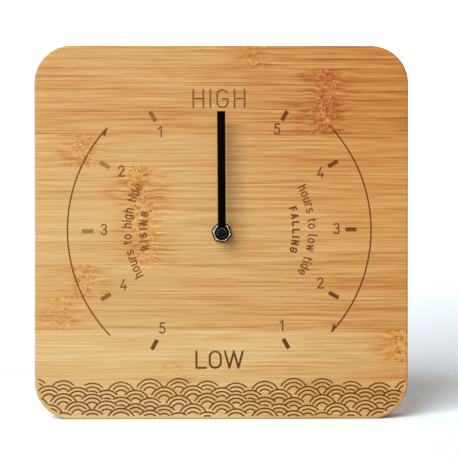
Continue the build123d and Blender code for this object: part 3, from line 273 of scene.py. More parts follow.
def ring_of_text(text, height, line, radius, start, end):
    """A word that runs clockwise round the dial with its tops outwards."""

    def placed(gone, width):
        """Turns a character's box so that its middle stands square on the circle."""
        turn = math.radians(start) - (gone + width / 2) / radius
        out = Vector((math.cos(turn), math.sin(turn)))
        along = Vector((math.sin(turn), -math.cos(turn)))
        return lambda x, z: tuple(out * (radius + z) + along * (x - width / 2))

    return spread_text(text, height, line, math.radians(start - end) * radius, placed)


# Dial burns: ten hour ticks, two arcs with one-sided arrow heads, the figures and plain
# words, and a border of overlapping scallops along the bottom edge.
DIAL_SHIFT = (-1.1, 1.3)
DIAL_TURN = 0.38
TICK_RADIUS = 70.4
TICK_LENGTH = 5.9
TICK_WIDTH = 2.2
ARC_RADIUS = 81.2
ARC_WIDTH = 0.8
ARC_HALF_ANGLE = 43.2
ARC_STEP_ANGLE = 2
ARROW_ANGLE = 1
ARROW_LENGTH = 5.0
ARROW_WIDTH = 2.3
FIGURE_HEIGHT = 6.1
FIGURE_LINE = 0.74
# One row for each hour: the angle of its tick, its figure and the figure's middle
HOURS = [
    (60, "5", 31.2, 53.9),
    (30, "4", 54.3, 30.6),
    (0, "3", 62.7, 0.5),
    (-30, "2", 53.9, -28.6),
    (-60, "1", 32.9, -51.2),
    (120, "1", -31.4, 52.9),
    (150, "2", -52.1, 32.0),
    (180, "3", -61.7, 0.8),
    (210, "4", -51.5, -28.8),
    (240, "5", -31.0, -52.1),
]
# Each straight word with its height, line, left end, right end and foot
STRAIGHT_WORDS = [("HIGH", 10.2, 0.92, -13.5, 13.9, 65.2), ("LOW", 9.8, 1.12, -12.8, 12.0, -74.2)]
# Each word round the dial with its height, line, radius and the angles where it starts and ends
ROUND_WORDS = [
    ("hours to low tide", 5.2, 0.66, 47.4, 27.9, -28.6),
    ("hours to high tide", 5.2, 0.7, 47.1, 209.9, 150.3),
    ("FALLING", 4.2, 0.92, 38.9, 16.9, -16.8),
    ("RISING", 4.2, 0.95, 38.7, 194.2, 166.0),
]


def direction(turn):
    """A step of one at an angle in radians."""
    return Vector((math.cos(turn), math.sin(turn)))


def dial_rings():
    """All the rings of the dial, about its own middle."""
    rings = []
    for angle, figure, across, up in HOURS:
        out = direction(math.radians(angle))
        half = out * (TICK_LENGTH - TICK_WIDTH) / 2
        rings.append(line_ring([out * TICK_RADIUS - half, out * TICK_RADIUS + half], TICK_WIDTH))
        width = CHARACTERS[figure][0] * (FIGURE_HEIGHT - FIGURE_LINE)
        corner = Vector((across, up)) - Vector((width, FIGURE_HEIGHT)) / 2
        rings += character_strokes(
            figure, FIGURE_HEIGHT, FIGURE_LINE, lambda x, z: (corner.x + x, corner.y + z)
        )
    for side in (0, 180):
        start, end = side - ARC_HALF_ANGLE, side + ARC_HALF_ANGLE
        arc = bow(0, 0, ARC_RADIUS, ARC_RADIUS, start + ARROW_ANGLE, end, ARC_STEP_ANGLE)
        rings.append(line_ring(arc, ARC_WIDTH))
        tip = math.radians(start)
        heel = tip + ARROW_LENGTH / ARC_RADIUS
        head = [(ARC_RADIUS, tip)]
        head += [(ARC_RADIUS + ARC_WIDTH / 2, heel), (ARC_RADIUS - ARROW_WIDTH, heel)]
        rings.append([(radius * math.cos(turn), radius * math.sin(turn)) for radius, turn in head])
    for word in STRAIGHT_WORDS:
        rings += row_of_text(*word)
    for word in ROUND_WORDS:
        rings += ring_of_text(*word)
    cos, sin = math.cos(math.radians(DIAL_TURN)), math.sin(math.radians(DIAL_TURN))
    right, up = DIAL_SHIFT[0], DIAL_SHIFT[1] + BOARD_CENTRE_Z
    return [
        [(x * cos - z * sin + right, x * sin + z * cos + up) for x, z in ring] for ring in rings
    ]


SCALLOP_PITCH = 15.4
SCALLOP_ROWS = 5
SCALLOP_RISE = 4.0
SCALLOP_START_Z = -3.0
SCALLOP_LINE = 0.8
SCALLOP_RADII = (7.7, 5.7, 3.5)
SCALLOP_CLEARANCE = 0.4
SCALLOP_EDGE_GAP = 0.7
SWELL_HEIGHT = 1.3
SWELL_LENGTH = 74.0


def on_face(x, z, gap):
    """Whether a place lies on the flat of the face, a gap inside its rounded edge."""
    half = BOARD_HALF - EDGE_RADIUS - gap
    radius = CORNER_RADIUS - EDGE_RADIUS - gap
    from_centre = abs(z - BOARD_CENTRE_Z)
    if abs(x) > half or from_centre > half:
        return False
    corner_x = abs(x) - (half - radius)
    corner_z = from_centre - (half - radius)
    return corner_x < 0 or corner_z < 0 or math.hypot(corner_x, corner_z) < radius


def scallop_rings():
    """Rows of scallops, each row partly behind the rows in front of it."""
    rings = []
    in_front = []
    count = int(2 * BOARD_HALF / SCALLOP_PITCH) + 2
    swell = 2 * math.pi / SWELL_LENGTH

    def seen(place):
        """Whether a place is on the face and not behind a scallop of a row in front."""
        gaps = (math.hypot(place[0] - x, place[1] - z) for x, z in in_front)
        return on_face(*place, SCALLOP_EDGE_GAP) and all(
            gap >= SCALLOP_RADII[0] + SCALLOP_CLEARANCE for gap in gaps
        )

    for row in range(SCALLOP_ROWS):
        start = -BOARD_HALF + (row % 2) * SCALLOP_PITCH / 2
        low = SCALLOP_START_Z + row * SCALLOP_RISE
        across = [start + number * SCALLOP_PITCH for number in range(count)]
        middles = [(x, low + SWELL_HEIGHT * math.sin(swell * x + row)) for x in across]
        for x, z in middles:
            for radius in SCALLOP_RADII:
                for is_seen, run in groupby(bow(x, z, radius, radius, 0, 180), seen):
                    stroke = list(run)
                    if is_seen and len(stroke) > 1:
                        rings.append(line_ring(stroke, SCALLOP_LINE))
        in_front += middles
    return rings


# Bamboo finish: long straight fibres, a tone of its own for each strip, and on most strips
# one knuckle of the cane, where the fibres swirl. The wood has a thin coat of satin oil.
def colour(red, green, blue):
    """A screen colour, 0 to 255, as the linear colour that a shader needs."""
    linear = []
    for value in (red, green, blue):
        share = value / 255
        linear.append(share / 12.92 if share <= 0.04045 else ((share + 0.055) / 1.055) ** 2.4)
    return (*linear, 1.0)


def feed(made, inputs):
    """Sets the inputs of a node, or links them where the value comes from another node."""
    for key, value in inputs.items():
        if isinstance(value, Result):
            made.id_data.links.new(value.socket, made.inputs[key])
        else:
            made.inputs[key].default_value = value


def add_node(tree, kind, inputs=None, **settings):
    """Adds a node with its settings and inputs."""
    made = tree.nodes.new(kind)
    for name, value in settings.items():
        setattr(made, name, value)
    feed(made, inputs or {})
    return made


def outcome(tree, kind, inputs=None, output=0, **settings):
    """Adds a node and returns what one of its outputs gives."""
    return Result(add_node(tree, kind, inputs, **settings).outputs[output])


class Result:
    """What a node gives. Numbers can be reckoned with like plain ones, which adds nodes."""

    def __init__(self, socket):
        self.socket = socket
        self.tree = socket.id_data

    def math(self, operation, *values):
        """One math node, on this number alone or on two."""
        inputs = dict(enumerate(values or (self,)))
        return outcome(self.tree, "ShaderNodeMath", inputs, operation=operation)

    def __add__(self, other):
        return self.math("ADD", self, other)

    def __sub__(self, other):
        return self.math("SUBTRACT", self, other)

    def __rsub__(self, other):
        return self.math("SUBTRACT", other, self)

    def __mul__(self, other):
        return self.math("MULTIPLY", self, other)

    def __truediv__(self, other):
        return self.math("DIVIDE", self, other)

    def __abs__(self):
        return self.math("ABSOLUTE")

    def most(self, other):
        return self.math("MAXIMUM", self, other)

    def from_ends(self):
        """For a share of a length: how far it is from the nearer end."""
        return self.math("MINIMUM", self, 1.0 - self)


def results(made):
    """What each output of a node gives."""
    return [Result(socket) for socket in made.outputs]


def fade(value, start, end, low=0.0, high=1.0):
    """A smooth change from low to high as the value goes from start to end."""
    inputs = {"Value": value, "From Min": start, "From Max": end, "To Min": low, "To Max": high}
    return outcome(value.tree, "ShaderNodeMapRange", inputs, interpolation_type="SMOOTHSTEP")


def vector(tree, x=0.0, y=0.0, z=0.0):
    """A vector from its three parts."""
    return outcome(tree, "ShaderNodeCombineXYZ", {"X": x, "Y": y, "Z": z})


def coordinate(tree, source="Object"):
    """A texture coordinate."""
    return outcome(tree, "ShaderNodeTexCoord", output=source)


def axes(place):
    """The three parts of a vector."""
    return results(add_node(place.tree, "ShaderNodeSeparateXYZ", {0: place}))


def cells(place, scale):
    """How far a place is from the middle of the nearest of many scattered cells."""
    inputs = {"Vector": place, "Scale": scale, "Randomness": 1.0}
    return outcome(place.tree, "ShaderNodeTexVoronoi", inputs)


def speckle(x, y, z, detail=2.0, rough=0.5, offset=0.0):
    """Noise about nought, on three coordinates that are already scaled."""
    inputs = {"W": offset, "Scale": 1.0, "Detail": detail, "Roughness": rough}
    inputs["Vector"] = vector(x.tree, x, y, z)
    return outcome(x.tree, "ShaderNodeTexNoise", inputs, noise_dimensions="4D") - 0.5


def tones(value, stops, steps="LINEAR"):
    """A colour from a ramp of (place, colour) stops."""
    made = add_node(value.tree, "ShaderNodeValToRGB", {"Fac": value})
    ramp = made.color_ramp
    ramp.interpolation = steps
    while len(ramp.elements) < len(stops):
        ramp.elements.new(1.0)
    for element, (place, shade) in zip(ramp.elements, stops):
        element.position = place
        element.color = shade
    return Result(made.outputs[0])


def blended(share, first, second, mode="MIX"):
    """Two colours mixed by a share."""
    tree = next(value.tree for value in (share, first, second) if isinstance(value, Result))
    inputs = {0: share, 6: first, 7: second}
    return outcome(tree, "ShaderNodeMix", inputs, 2, data_type="RGBA", blend_type=mode)


def node_group(name, kind, inputs, outputs):
    """A new node group with named sockets, and what comes in through them."""
    tree = bpy.data.node_groups.new(name, kind)
    for in_out, sockets in (("INPUT", inputs), ("OUTPUT", outputs)):
        for label, socket in sockets.items():
            tree.interface.new_socket(label, in_out=in_out, socket_type="NodeSocket" + socket)
    given = tree.nodes.new("NodeGroupInput").outputs
    return tree, {socket.name: Result(socket) for socket in given}


STRIP_PITCH = 0.01743
STRIP_START = 0.0133
PLY_THICKNESS = 0.006
PLY_SHIFT = 0.0073
PLY_KNUCKLE_SHARE = 0.37
BOARD_WIDTH = 2 * BOARD_HALF * MM
HALF_DEPTH = (REAR_Y - FACE_Y) / 2 * MM
KNUCKLE_REACH = (0.0085, 0.003)
FLANK_REACH = (0.024, 0.003)
TICK_REACH = (0.0042, 0.0036)
LEFT_HALF = (0.02, -0.03)
TOP_WORD_SIDE = (0.024, 0.018)
TOP_WORD_FOOT = (0.155, 0.160)
BORDER_TOP = (0.019, 0.016)
# One row for each strip from the bottom up: place of the knuckle as a share of the width,
# its strength, and the strip's tone
STRIPS = [
    (0.50, 0.0, 0.72),
    (0.365, 0.4, 0.73),
    (0.98, 1.0, 0.80),
    (0.07, 0.5, 0.55),
    (0.13, 0.7, 0.54),
    (0.30, 0.7, 0.61),
    (0.29, 0.9, 0.61),
    (0.28, 0.9, 0.54),
    (0.13, 0.8, 0.51),
    (0.77, 1.0, 0.36),
    (0.78, 0.9, 0.39),
    (0.59, 0.5, 0.40),
]
# The fibres' noises: stretch along the strip and fineness across it, each per metre, then
# detail and strength
FIBRES = [
    (5.0, 150, 2.0, 0.10),
    (11.0, 760, 3.0, 0.26),
    (26.0, 1450, 2.0, 1.55),
    (75.0, 900, 1.0, 0.32),
]
WOOD_TONES = [
    (0.0, colour(164, 90, 30)),
    (0.28, colour(198, 135, 58)),
    (0.52, colour(213, 164, 95)),
    (0.76, colour(222, 183, 119)),
    (1.0, colour(233, 205, 150)),
]
BURNT_TONES = [(0.3, colour(92, 41, 23)), (0.7, colour(130, 66, 38))]
# What every finish's node group gives, with the kind of each socket
LOOK = {"Color": "Color", "Roughness": "Float", "Height": "Float"}


def bamboo_figure():
    """The node group that both the bare and the burnt bamboo use."""
    tree, given = node_group("bamboo figure", "ShaderNodeTree", {"Burn": "Float"}, LOOK)
    burn = given["Burn"]
    place = coordinate(tree)
    x, y, z = axes(place)
    end_grain = fade(abs(axes(coordinate(tree, "Normal"))[0]), 0.55, 0.85)

    # Where a place lies: its ply, its strip, and how far it is from the strip's knuckle
    ply = ((y + (HALF_DEPTH + 0.01 * MM)) / PLY_THICKNESS).math("FLOOR")
    strips = (ply * PLY_SHIFT + z - STRIP_START) / STRIP_PITCH
    strip = strips.math("FLOOR")
    stops = [(number / len(STRIPS), (*row, 1.0)) for number, row in enumerate(STRIPS)]
    facts = {"Color": tones((strip + 1.5) / len(STRIPS), stops, "CONSTANT")}
    shift, strength, tone = results(add_node(tree, "ShaderNodeSeparateColor", facts))
    knuckle = (ply * PLY_KNUCKLE_SHARE + shift).math("FRACT") * BOARD_WIDTH - BOARD_WIDTH / 2
    away = speckle(x * 60, strip, z * 420) * 0.012 + abs(x - knuckle)
    core = fade(away, *KNUCKLE_REACH) * strength
    flank = fade(away, *FLANK_REACH) * strength

    # Fibres drift a little everywhere, bend beside a knuckle and curl in it
    moved = speckle(x * 9, strip, z * 14, offset=4.0) * 0.002 + z
    bent = speckle(x * 70, strip, z * 120) * (flank * 0.0045)
    curled = speckle(x * 280, y * 280, z * 620) * (core * 0.008)
    grain_z = moved + (bent + curled)
    offset = strip * 3.7 + ply * 1.9

    def fibres(stretch, fine, detail):
        """Noise that is drawn out along the strip."""
        return speckle(x * stretch, y * fine, grain_z * fine, detail, 0.55, offset)

    value = (tone - 0.5) * 0.9 + 0.55
    contrast = fade(x, -0.06, 0.06, 0.74, 1.05)
    for stretch, fine, detail, amount in FIBRES:
        value += fibres(stretch, fine, detail) * contrast * amount
    value -= fade(fibres(7.0, 1000, 1.0), 0.08, 0.24) * 0.22
    value += fibres(85.0, 640, 1.0) * (flank - core * 0.75) * 1.9
    value += fibres(440.0, 1500, 2.0) * core * 3.1
    value -= flank * 0.13
    value -= core * 0.01

    # Glue lines between strips and between plies, and the dots of the end grain
    value -= fade(strips.math("FRACT").from_ends(), 0.022, 0.006) * 0.16
    in_ply = ((y + HALF_DEPTH) / PLY_THICKNESS).math("FRACT")
    inside = fade(abs(y), HALF_DEPTH - 0.1 * MM, HALF_DEPTH - 0.5 * MM)
    value -= fade(in_ply.from_ends(), 0.035, 0.012) * inside * 0.22
    value -= fade(cells(place, 1100.0), 0.45, 0.2) * end_grain * 0.34
    value -= end_grain * 0.12
    # Darker and more orange towards the right, most of all higher up.
    warmer_to_right_and_top = fade(x, -0.03, 0.11) * fade(z, 0.04, 0.19, 0.6, 1.0)
    value = outcome(tree, "ShaderNodeClamp", {"Value": value - warmer_to_right_and_top * 0.07})
    wood = blended(warmer_to_right_and_top * 0.60, tones(value, WOOD_TONES), colour(242, 186, 60), "MULTIPLY")
    wood = blended((core + flank) * 0.28, wood, colour(255, 224, 150), "MULTIPLY")

    # The laser's marks: scan lines, paler at the left, darker low down
    flat_place = vector(tree, x, 0.0, z)
    middle = (DIAL_SHIFT[0] * MM, 0.0, (BOARD_CENTRE_Z + DIAL_SHIFT[1]) * MM)
    inputs = {0: flat_place, 1: middle}
    radius = outcome(tree, "ShaderNodeVectorMath", inputs, 1, operation="DISTANCE")
    on_ticks = fade(abs(radius - TICK_RADIUS * MM), *TICK_REACH)
    leftwards = fade(x, *LEFT_HALF)
    by_height = fade(z, 0.03, 0.11, 0.1, 0.48) * fade(z, 0.145, 0.16, 1.0, 0.7)
    on_top_word = fade(abs(x), *TOP_WORD_SIDE) * fade(z, *TOP_WORD_FOOT, 0.0, 0.3)
    faint = on_ticks * leftwards * by_height
    faint = faint.most(leftwards * 0.06 + 0.09).most(core * 0.32).most(on_top_word)
    scan = ((x + z) * 3600).math("SINE")
    char = scan * (faint * 0.5 + 0.05) + (speckle(x * 500, 0.0, z * 1300) + 0.5)
    burnt = blended(faint, tones(char, BURNT_TONES), wood)
    deep = (on_ticks * fade(z, 0.065, 0.035, 0.0, 0.45)).most(fade(z, *BORDER_TOP, 0.0, 0.4))
    burnt = blended(deep, burnt, colour(66, 28, 14))
    look = {
        "Color": blended(burn, wood, burnt),
        "Roughness": burn * 0.35 + (0.50 - value * 0.10),
        "Height": burn * char * 1.5 + value,
    }
    add_node(tree, "NodeGroupOutput", look)
    return tree


def surface(name, **plain):
    """A new material with plain values set on its Principled shader."""
    made = bpy.data.materials.new(name)
    made.use_nodes = True
    shader = made.node_tree.nodes["Principled BSDF"]
    feed(shader, {key.replace("_", " "): value for key, value in plain.items()})
    return made


def marked(made, group, inputs, depth, strength=0.5, recoloured=lambda shown: shown):
    """Gives a material the colour, the gloss and the relief of a node group."""
    tree = made.node_tree
    shown, rough, height = results(add_node(tree, "ShaderNodeGroup", inputs, node_tree=group))
    relief = {"Height": height, "Distance": depth, "Strength": strength}
    bump = outcome(tree, "ShaderNodeBump", relief)
    look = {"Base Color": recoloured(shown), "Roughness": rough, "Normal": bump}
    feed(tree.nodes["Principled BSDF"], look)
    return made


figure = bamboo_figure()


def bamboo_finish(name, burn, specular):
    """Bamboo, bare or burnt."""
    made = surface(name, Specular_IOR_Level=specular)
    return marked(made, figure, {"Burn": burn}, 0.06 * MM, 0.6)


bare_bamboo = bamboo_finish("oiled_bamboo", 0.0, 0.5)
burnt_bamboo = bamboo_finish("laser_burnt_bamboo", 1.0, 0.1)

# Board shell: the burnt face, the rounded edges and the milled back as one closed skin,
# with the wells of the pocket, the shaft's hole and the hanger's recess cut in it.
HANGER_LOW, HANGER_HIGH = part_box("keyhole_hanger")
HANGER_GAP = 0.01
HANGER_CORNER = 4.0
HANGER_FLOOR_Y = HANGER_LOW.y / MM
CAVITY_HALF = 7.0
CAVITY_CORNER = 0.5
CAVITY_FLOOR_Y = HANGER_FLOOR_Y - 6.0
WELL_CORNER_STEPS = 8
hanger_z = (HANGER_LOW.z + HANGER_HIGH.z) / 2 / MM
hanger_half_width = (HANGER_HIGH.x - HANGER_LOW.x) / 2 / MM + HANGER_GAP
hanger_half_height = (HANGER_HIGH.z - HANGER_LOW.z) / 2 / MM + HANGER_GAP
board = Shell()


def board_ring(inset):
    """The board's outline drawn in by an inset."""
    half = BOARD_HALF - inset
    return rounded_box(half, half, CORNER_RADIUS - inset, BOARD_CENTRE_Z)


shaft_ring = circle_ring(0, BOARD_CENTRE_Z, SHAFT_HOLE_RADIUS)
places, triangles = divided([board_ring(EDGE_RADIUS), shaft_ring] + dial_rings() + scallop_rings())
deep = FACE_Y + BURN_DEPTH
burnt_at_edge = {}
for triangle, owners in triangles:
    if 0 not in owners or 1 in owners:
        continue
    is_burnt = max(owners) > 1
    level = deep if is_burnt else FACE_Y
    board.face([(places[n][0], level, places[n][1]) for n in triangle], int(is_burnt))
    for number in range(3):
        burnt_at_edge[triangle[number], triangle[(number + 1) % 3]] = is_burnt
for (start, end), is_burnt in burnt_at_edge.items():
    if is_burnt and burnt_at_edge.get((end, start)) is False:
        (ax, az), (bx, bz) = places[start], places[end]
        board.face([(bx, deep, bz), (ax, deep, az), (ax, FACE_Y, az), (bx, FACE_Y, bz)], 1)

profile = bow(EDGE_RADIUS, EDGE_RADIUS, EDGE_RADIUS, EDGE_RADIUS, -90, -180, 90 / EDGE_STEPS)
rounds = [(inset, FACE_Y + rise) for inset, rise in profile]
rounds += [(inset, REAR_Y - rise) for inset, rise in reversed(profile)]
for (inset, y), (next_inset, next_y) in zip(rounds, rounds[1:]):
    board.band(board_ring(inset), y, board_ring(next_inset), next_y)


def hole_band(ring, y, next_ring, next_y):
    """The wall of a hole, which faces inwards."""
    board.band(ring[::-1], y, next_ring[::-1], next_y)


def rear_panel(y, outer, *holes):
    """A flat that faces backwards, with holes."""
    corners, parts = divided([outer, *holes])
    for triangle, owners in parts:
        if owners == {0}:
            board.face([(corners[n][0], y, corners[n][1]) for n in reversed(triangle)])


def pocket_ring(grow):
    """The pocket's outline, grown for the chamfer at its rim."""
    half = POCKET_HALF + grow
    return rounded_box(half, half, POCKET_CORNER + grow, BOARD_CENTRE_Z, WELL_CORNER_STEPS)


pocket = pocket_ring(0)
pocket_rim = pocket_ring(RIM_CHAMFER)
recess = rounded_box(
    hanger_half_width, hanger_half_height, HANGER_CORNER, hanger_z, WELL_CORNER_STEPS
)
cavity = rounded_box(CAVITY_HALF, CAVITY_HALF, CAVITY_CORNER, hanger_z, 2)
hole_band(shaft_ring, FACE_Y, shaft_ring, POCKET_FLOOR_Y)
rear_panel(POCKET_FLOOR_Y, pocket, shaft_ring)
hole_band(pocket, POCKET_FLOOR_Y, pocket, REAR_Y - RIM_CHAMFER)
hole_band(pocket, REAR_Y - RIM_CHAMFER, pocket_rim, REAR_Y)
rear_panel(CAVITY_FLOOR_Y, cavity)
hole_band(cavity, CAVITY_FLOOR_Y, cavity, HANGER_FLOOR_Y)
rear_panel(HANGER_FLOOR_Y, recess, cavity)
hole_band(recess, HANGER_FLOOR_Y, recess, REAR_Y)
rear_panel(REAR_Y, board_ring(EDGE_RADIUS), pocket_rim, recess)


def fitted(made, body, slot, *nodes):
    """Fixes a finished piece to its body, in place of its CAD pieces."""
    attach(made, body)
    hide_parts(*nodes)


tide_board = board.piece("bamboo_dial_board", bare_bamboo, burnt_bamboo)
fitted(tide_board, "clock", "bamboo", "dial_board")

# Keyhole hanger: a plate of zinc-plated steel, stamped with its keyhole and pressed flush
# into the recess in the back of the board. Two countersunk wood screws hold it.
CAD_JOIN = 0.002 * MM
BEVEL_ANGLE = math.radians(30)


def cad_mesh(node):
    """A CAD piece as an editable mesh, with the corners that meet joined."""
    work = bmesh.new()
    work.from_mesh(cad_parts[node].data)
    bmesh.ops.remove_doubles(work, verts=work.verts, dist=CAD_JOIN)
    return work


def softened(node, name, width, finish, body, slot, chosen=lambda edge: True, segments=2):
    """A copy of a CAD piece with its sharp edges rounded over, fixed in that piece's place."""
    work = cad_mesh(node)
    bmesh.ops.dissolve_limit(work, angle_limit=math.radians(1), verts=work.verts, edges=work.edges)
    sharp = []
    for edge in work.edges:
        if len(edge.link_faces) == 2 and edge.calc_face_angle() > BEVEL_ANGLE and chosen(edge):
            sharp.append(edge)
    rounding = {"offset": width * MM, "segments": segments, "profile": 0.5, "affect": "EDGES"}
    bmesh.ops.bevel(work, geom=sharp, clamp_overlap=True, **rounding)
    for face in work.faces:
        face.smooth = True
    mesh = bpy.data.meshes.new(name)
    work.to_mesh(mesh)
    work.free()
    mesh.materials.clear()
    mesh.materials.append(finish)
    mesh.set_sharp_from_angle(angle=SHARP_ANGLE)
    fitted(in_scene(name, mesh), body, slot, node)


def noise(place, scale, detail):
    """Soft noise, from 0 to 1."""
    inputs = {"Vector": place, "Scale": scale, "Detail": detail}
    return outcome(place.tree, "ShaderNodeTexNoise", inputs)


def handled_metal():
    """The node group for metal: fine lines from its making, cloudy dulling and tiny dents."""
    inputs = {"Place": "Vector", "Clean": "Color", "Dull": "Color", "Shine": "Float"}
    tree, given = node_group("handled metal", "ShaderNodeTree", inputs, LOOK)
    plain = coordinate(tree)
    cloud = fade(noise(plain, 160.0, 4.0), 0.45, 0.68)
    lines = noise(given["Place"], 1.0, 2.0)
    worn = fade(lines, 0.4, 0.7) * 0.25 + cloud * 0.6
    outputs = {
        "Color": blended(worn, given["Clean"], given["Dull"]),
        "Roughness": cloud * 0.12 + ((lines - 0.5) * 0.22 + given["Shine"]),
        "Height": noise(plain, 900.0, 1.0) * 0.5 + lines,
    }
    add_node(tree, "NodeGroupOutput", outputs)
    return tree


metal_marks = handled_metal()


def metal(tree, clean, dull, shine, stretch):
    """What the marks of a metal need. Its lines run along the smallest stretch."""
    place = outcome(tree, "ShaderNodeMapping", {"Vector": coordinate(tree), "Scale": stretch})
    return {"Place": place, "Clean": colour(*clean), "Dull": colour(*dull), "Shine": shine}


def metal_finish(name, clean, dull, shine, stretch):
    """A metal in a clean and a dull tone, each as screen colours."""
    made = surface(name, Metallic=1.0)
    inputs = metal(made.node_tree, clean, dull, shine, stretch)
    return marked(made, metal_marks, inputs, 0.004 * MM)


zinc = metal_finish("zinc_plated_steel", (196, 200, 204), (150, 152, 152), 0.30, (120, 2600, 2600))
softened("keyhole_hanger", "stamped_keyhole_hanger", 0.18, zinc, "clock", "zinc_steel")

# Slotted screws: turned steel with a straight driver slot. One node tree makes every screw
# in the clock, from the two countersunk wood screws down to the small ones in the movement.
SCREW_FACETS = 32
GROWN_SHARP_ANGLE = math.radians(35)
CROWN_SHARE = 0.86
TAPER_SHARE = 0.8
THREADED_SHARE = 0.8
THREAD_START_SHARE = -0.95
SLOT_REACH_SHARE = 3.0
# A screw's slot width and depth, its shank's radius, and its thread's pitch and depth
WOOD_SCREW_SIZES = (0.7, 0.8, 1.4, 1.1, 0.3)
SMALL_SCREW_SIZES = (0.3, 0.35, 0.6, 0.4, 0.12)


def sized_tree(name, sizes):
    """A geometry node tree with named sizes and a finish, and what comes in through them."""
    kinds = {label: "Int" if label.endswith("Count") else "Float" for label in sizes}
    inputs = {"Geometry": "Geometry", **kinds, "Finish": "Material"}
    return node_group(name, "GeometryNodeTree", inputs, {"Geometry": "Geometry"})


def instances(tree, points, shape, turned=(0, 0, 0)):
    """A copy of a shape at each point."""
    inputs = {"Points": points, "Instance": shape, "Rotation": turned}
    return outcome(tree, "GeometryNodeInstanceOnPoints", inputs)


def hand_out(tree, given, shape, turned=(0, 0, 0)):
    """Ends a tree: real copies of a shape at the points that came in, with their finish."""
    copies = instances(tree, given["Geometry"], shape, turned)
    real = outcome(tree, "GeometryNodeRealizeInstances", {"Geometry": copies})
    inputs = {"Geometry": real, "Material": given["Finish"]}
    shaded = outcome(tree, "GeometryNodeSetMaterial", inputs)
    add_node(tree, "NodeGroupOutput", {"Geometry": shaded})


def grown(name, tree, points, finish, sizes):
    """Runs a geometry node tree on a set of places and keeps the result as a plain mesh."""
    mesh = bpy.data.meshes.new(name)
    mesh.from_pydata([Vector(point) for point in points], [], [])
    made = in_scene(name, mesh)
    modifier = made.modifiers.new(name, "NODES")
    modifier.node_group = tree
    values = {**sizes, "Finish": finish}
    for item in tree.interface.items_tree:
        if item.in_out == "INPUT" and item.name in values:
            modifier[item.identifier] = values[item.name]
    graph = bpy.context.evaluated_depsgraph_get()
    plain = bpy.data.meshes.new_from_object(made.evaluated_get(graph), depsgraph=graph)
    made.modifiers.clear()
    made.data = plain
    plain.name = name
    plain.set_sharp_from_angle(angle=GROWN_SHARP_ANGLE)
    return made


def slotted_screw_tree():
    """A screw at each point, with its head towards the rear and the point at the head's seat."""
    sizes = (
        "Head Radius", "Foot Radius", "Crown Radius", "Flare", "Crown", "Slot Width", "Slot Depth",
        "Shank Radius", "Shank Length", "Thread Pitch", "Thread Depth",
    )
    tree, given = sized_tree("slotted screw", sizes)
    head, shank, length = given["Head Radius"], given["Shank Radius"], given["Shank Length"]
    flare, crown, pitch = given["Flare"], given["Crown"], given["Thread Pitch"]

    def lift(geometry, height):
        """Moves geometry along the screw."""
        inputs = {"Geometry": geometry, "Translation": vector(tree, z=height)}
        return outcome(tree, "GeometryNodeTransform", inputs)

    def cone(low_radius, high_radius, height):
        """A closed frustum that stands on its narrow or wide foot."""
        shape = {"Radius Top": high_radius, "Radius Bottom": low_radius, "Depth": height}
        return outcome(tree, "GeometryNodeMeshCone", {"Vertices": SCREW_FACETS, **shape})

    core = shank - given["Thread Depth"]
    half_pitch = pitch * 0.5
    turns = (length * THREADED_SHARE / pitch).math("FLOOR")
    first, step = vector(tree, z=length * THREAD_START_SHARE), vector(tree, z=pitch)
    inputs = {"Count": turns, "Start Location": first, "Offset": step}
    line = outcome(tree, "GeometryNodeMeshLine", inputs)
    parts = (
        cone(given["Foot Radius"], head, flare),
        lift(cone(head, given["Crown Radius"], crown), flare),
        lift(cone(core * TAPER_SHARE, core, length), length * -1.0),
        instances(tree, line, cone(core, shank, half_pitch)),
        instances(tree, line, lift(cone(shank, core, half_pitch), half_pitch)),
    )
    body = add_node(tree, "GeometryNodeMeshBoolean", operation="UNION", solver="MANIFOLD")
    for part in parts:
        feed(body, {1: part})
    size = vector(tree, head * SLOT_REACH_SHARE, given["Slot Width"], given["Slot Depth"] * 2.0)
    slot = lift(outcome(tree, "GeometryNodeMeshCube", {"Size": size}), flare + crown)
    inputs = {0: Result(body.outputs[0]), 1: slot}
    cut = {"operation": "DIFFERENCE", "solver": "MANIFOLD"}
    whole = outcome(tree, "GeometryNodeMeshBoolean", inputs, **cut)
    hand_out(tree, given, whole, (math.radians(-90), 0, 0))
    return tree


def separate_boxes(node):
    """The lowest and highest corner of each loose part of a CAD piece."""
    work = cad_mesh(node)
    left = set(work.verts)
    boxes = []
    while left:
        wave = [left.pop()]
        part = []
        while wave:
            vertex = wave.pop()
            part.append(vertex.co.copy())
            for edge in vertex.link_edges:
                other = edge.other_vert(vertex)
                if other in left:
                    left.remove(other)
                    wave.append(other)
        axes_of_part = list(zip(*part))
        boxes.append((Vector(map(min, axes_of_part)), Vector(map(max, axes_of_part))))
    work.free()
    return sorted(boxes, key=lambda box: (box[0].x, box[0].z))


screw_tree = slotted_screw_tree()
screw_steel = metal_finish(
    "turned_screw_steel", (206, 204, 198), (140, 136, 126), 0.26, (3000, 3000, 300)
)


def screws(node, name, slot, flare, crown, foot, sizes):
    """Screws in place of a CAD group. A seat is a head's height in front of the rear end."""
    seats = []
    for low, high in separate_boxes(node):
        middle = (low + high) / 2
        seats.append((middle.x, high.y - (flare + crown) * MM, middle.z))
    head = (high.x - low.x) / 2 / MM
    labels = ("Slot Width", "Slot Depth", "Shank Radius", "Thread Pitch", "Thread Depth")
    values = {
        "Head Radius": head, "Foot Radius": foot or head, "Crown Radius": head * CROWN_SHARE,
        "Flare": flare, "Crown": crown, "Shank Length": (high.y - low.y) / MM - flare - crown,
        **dict(zip(labels, sizes)),
    }
    scaled = {label: value * MM for label, value in values.items()}
    fitted(grown(name, screw_tree, seats, screw_steel, scaled), "clock", slot, node)


screws("hanger_screws", "countersunk_wood_screws", "zinc_steel", 1.45, 0.15, 1.4, WOOD_SCREW_SIZES)

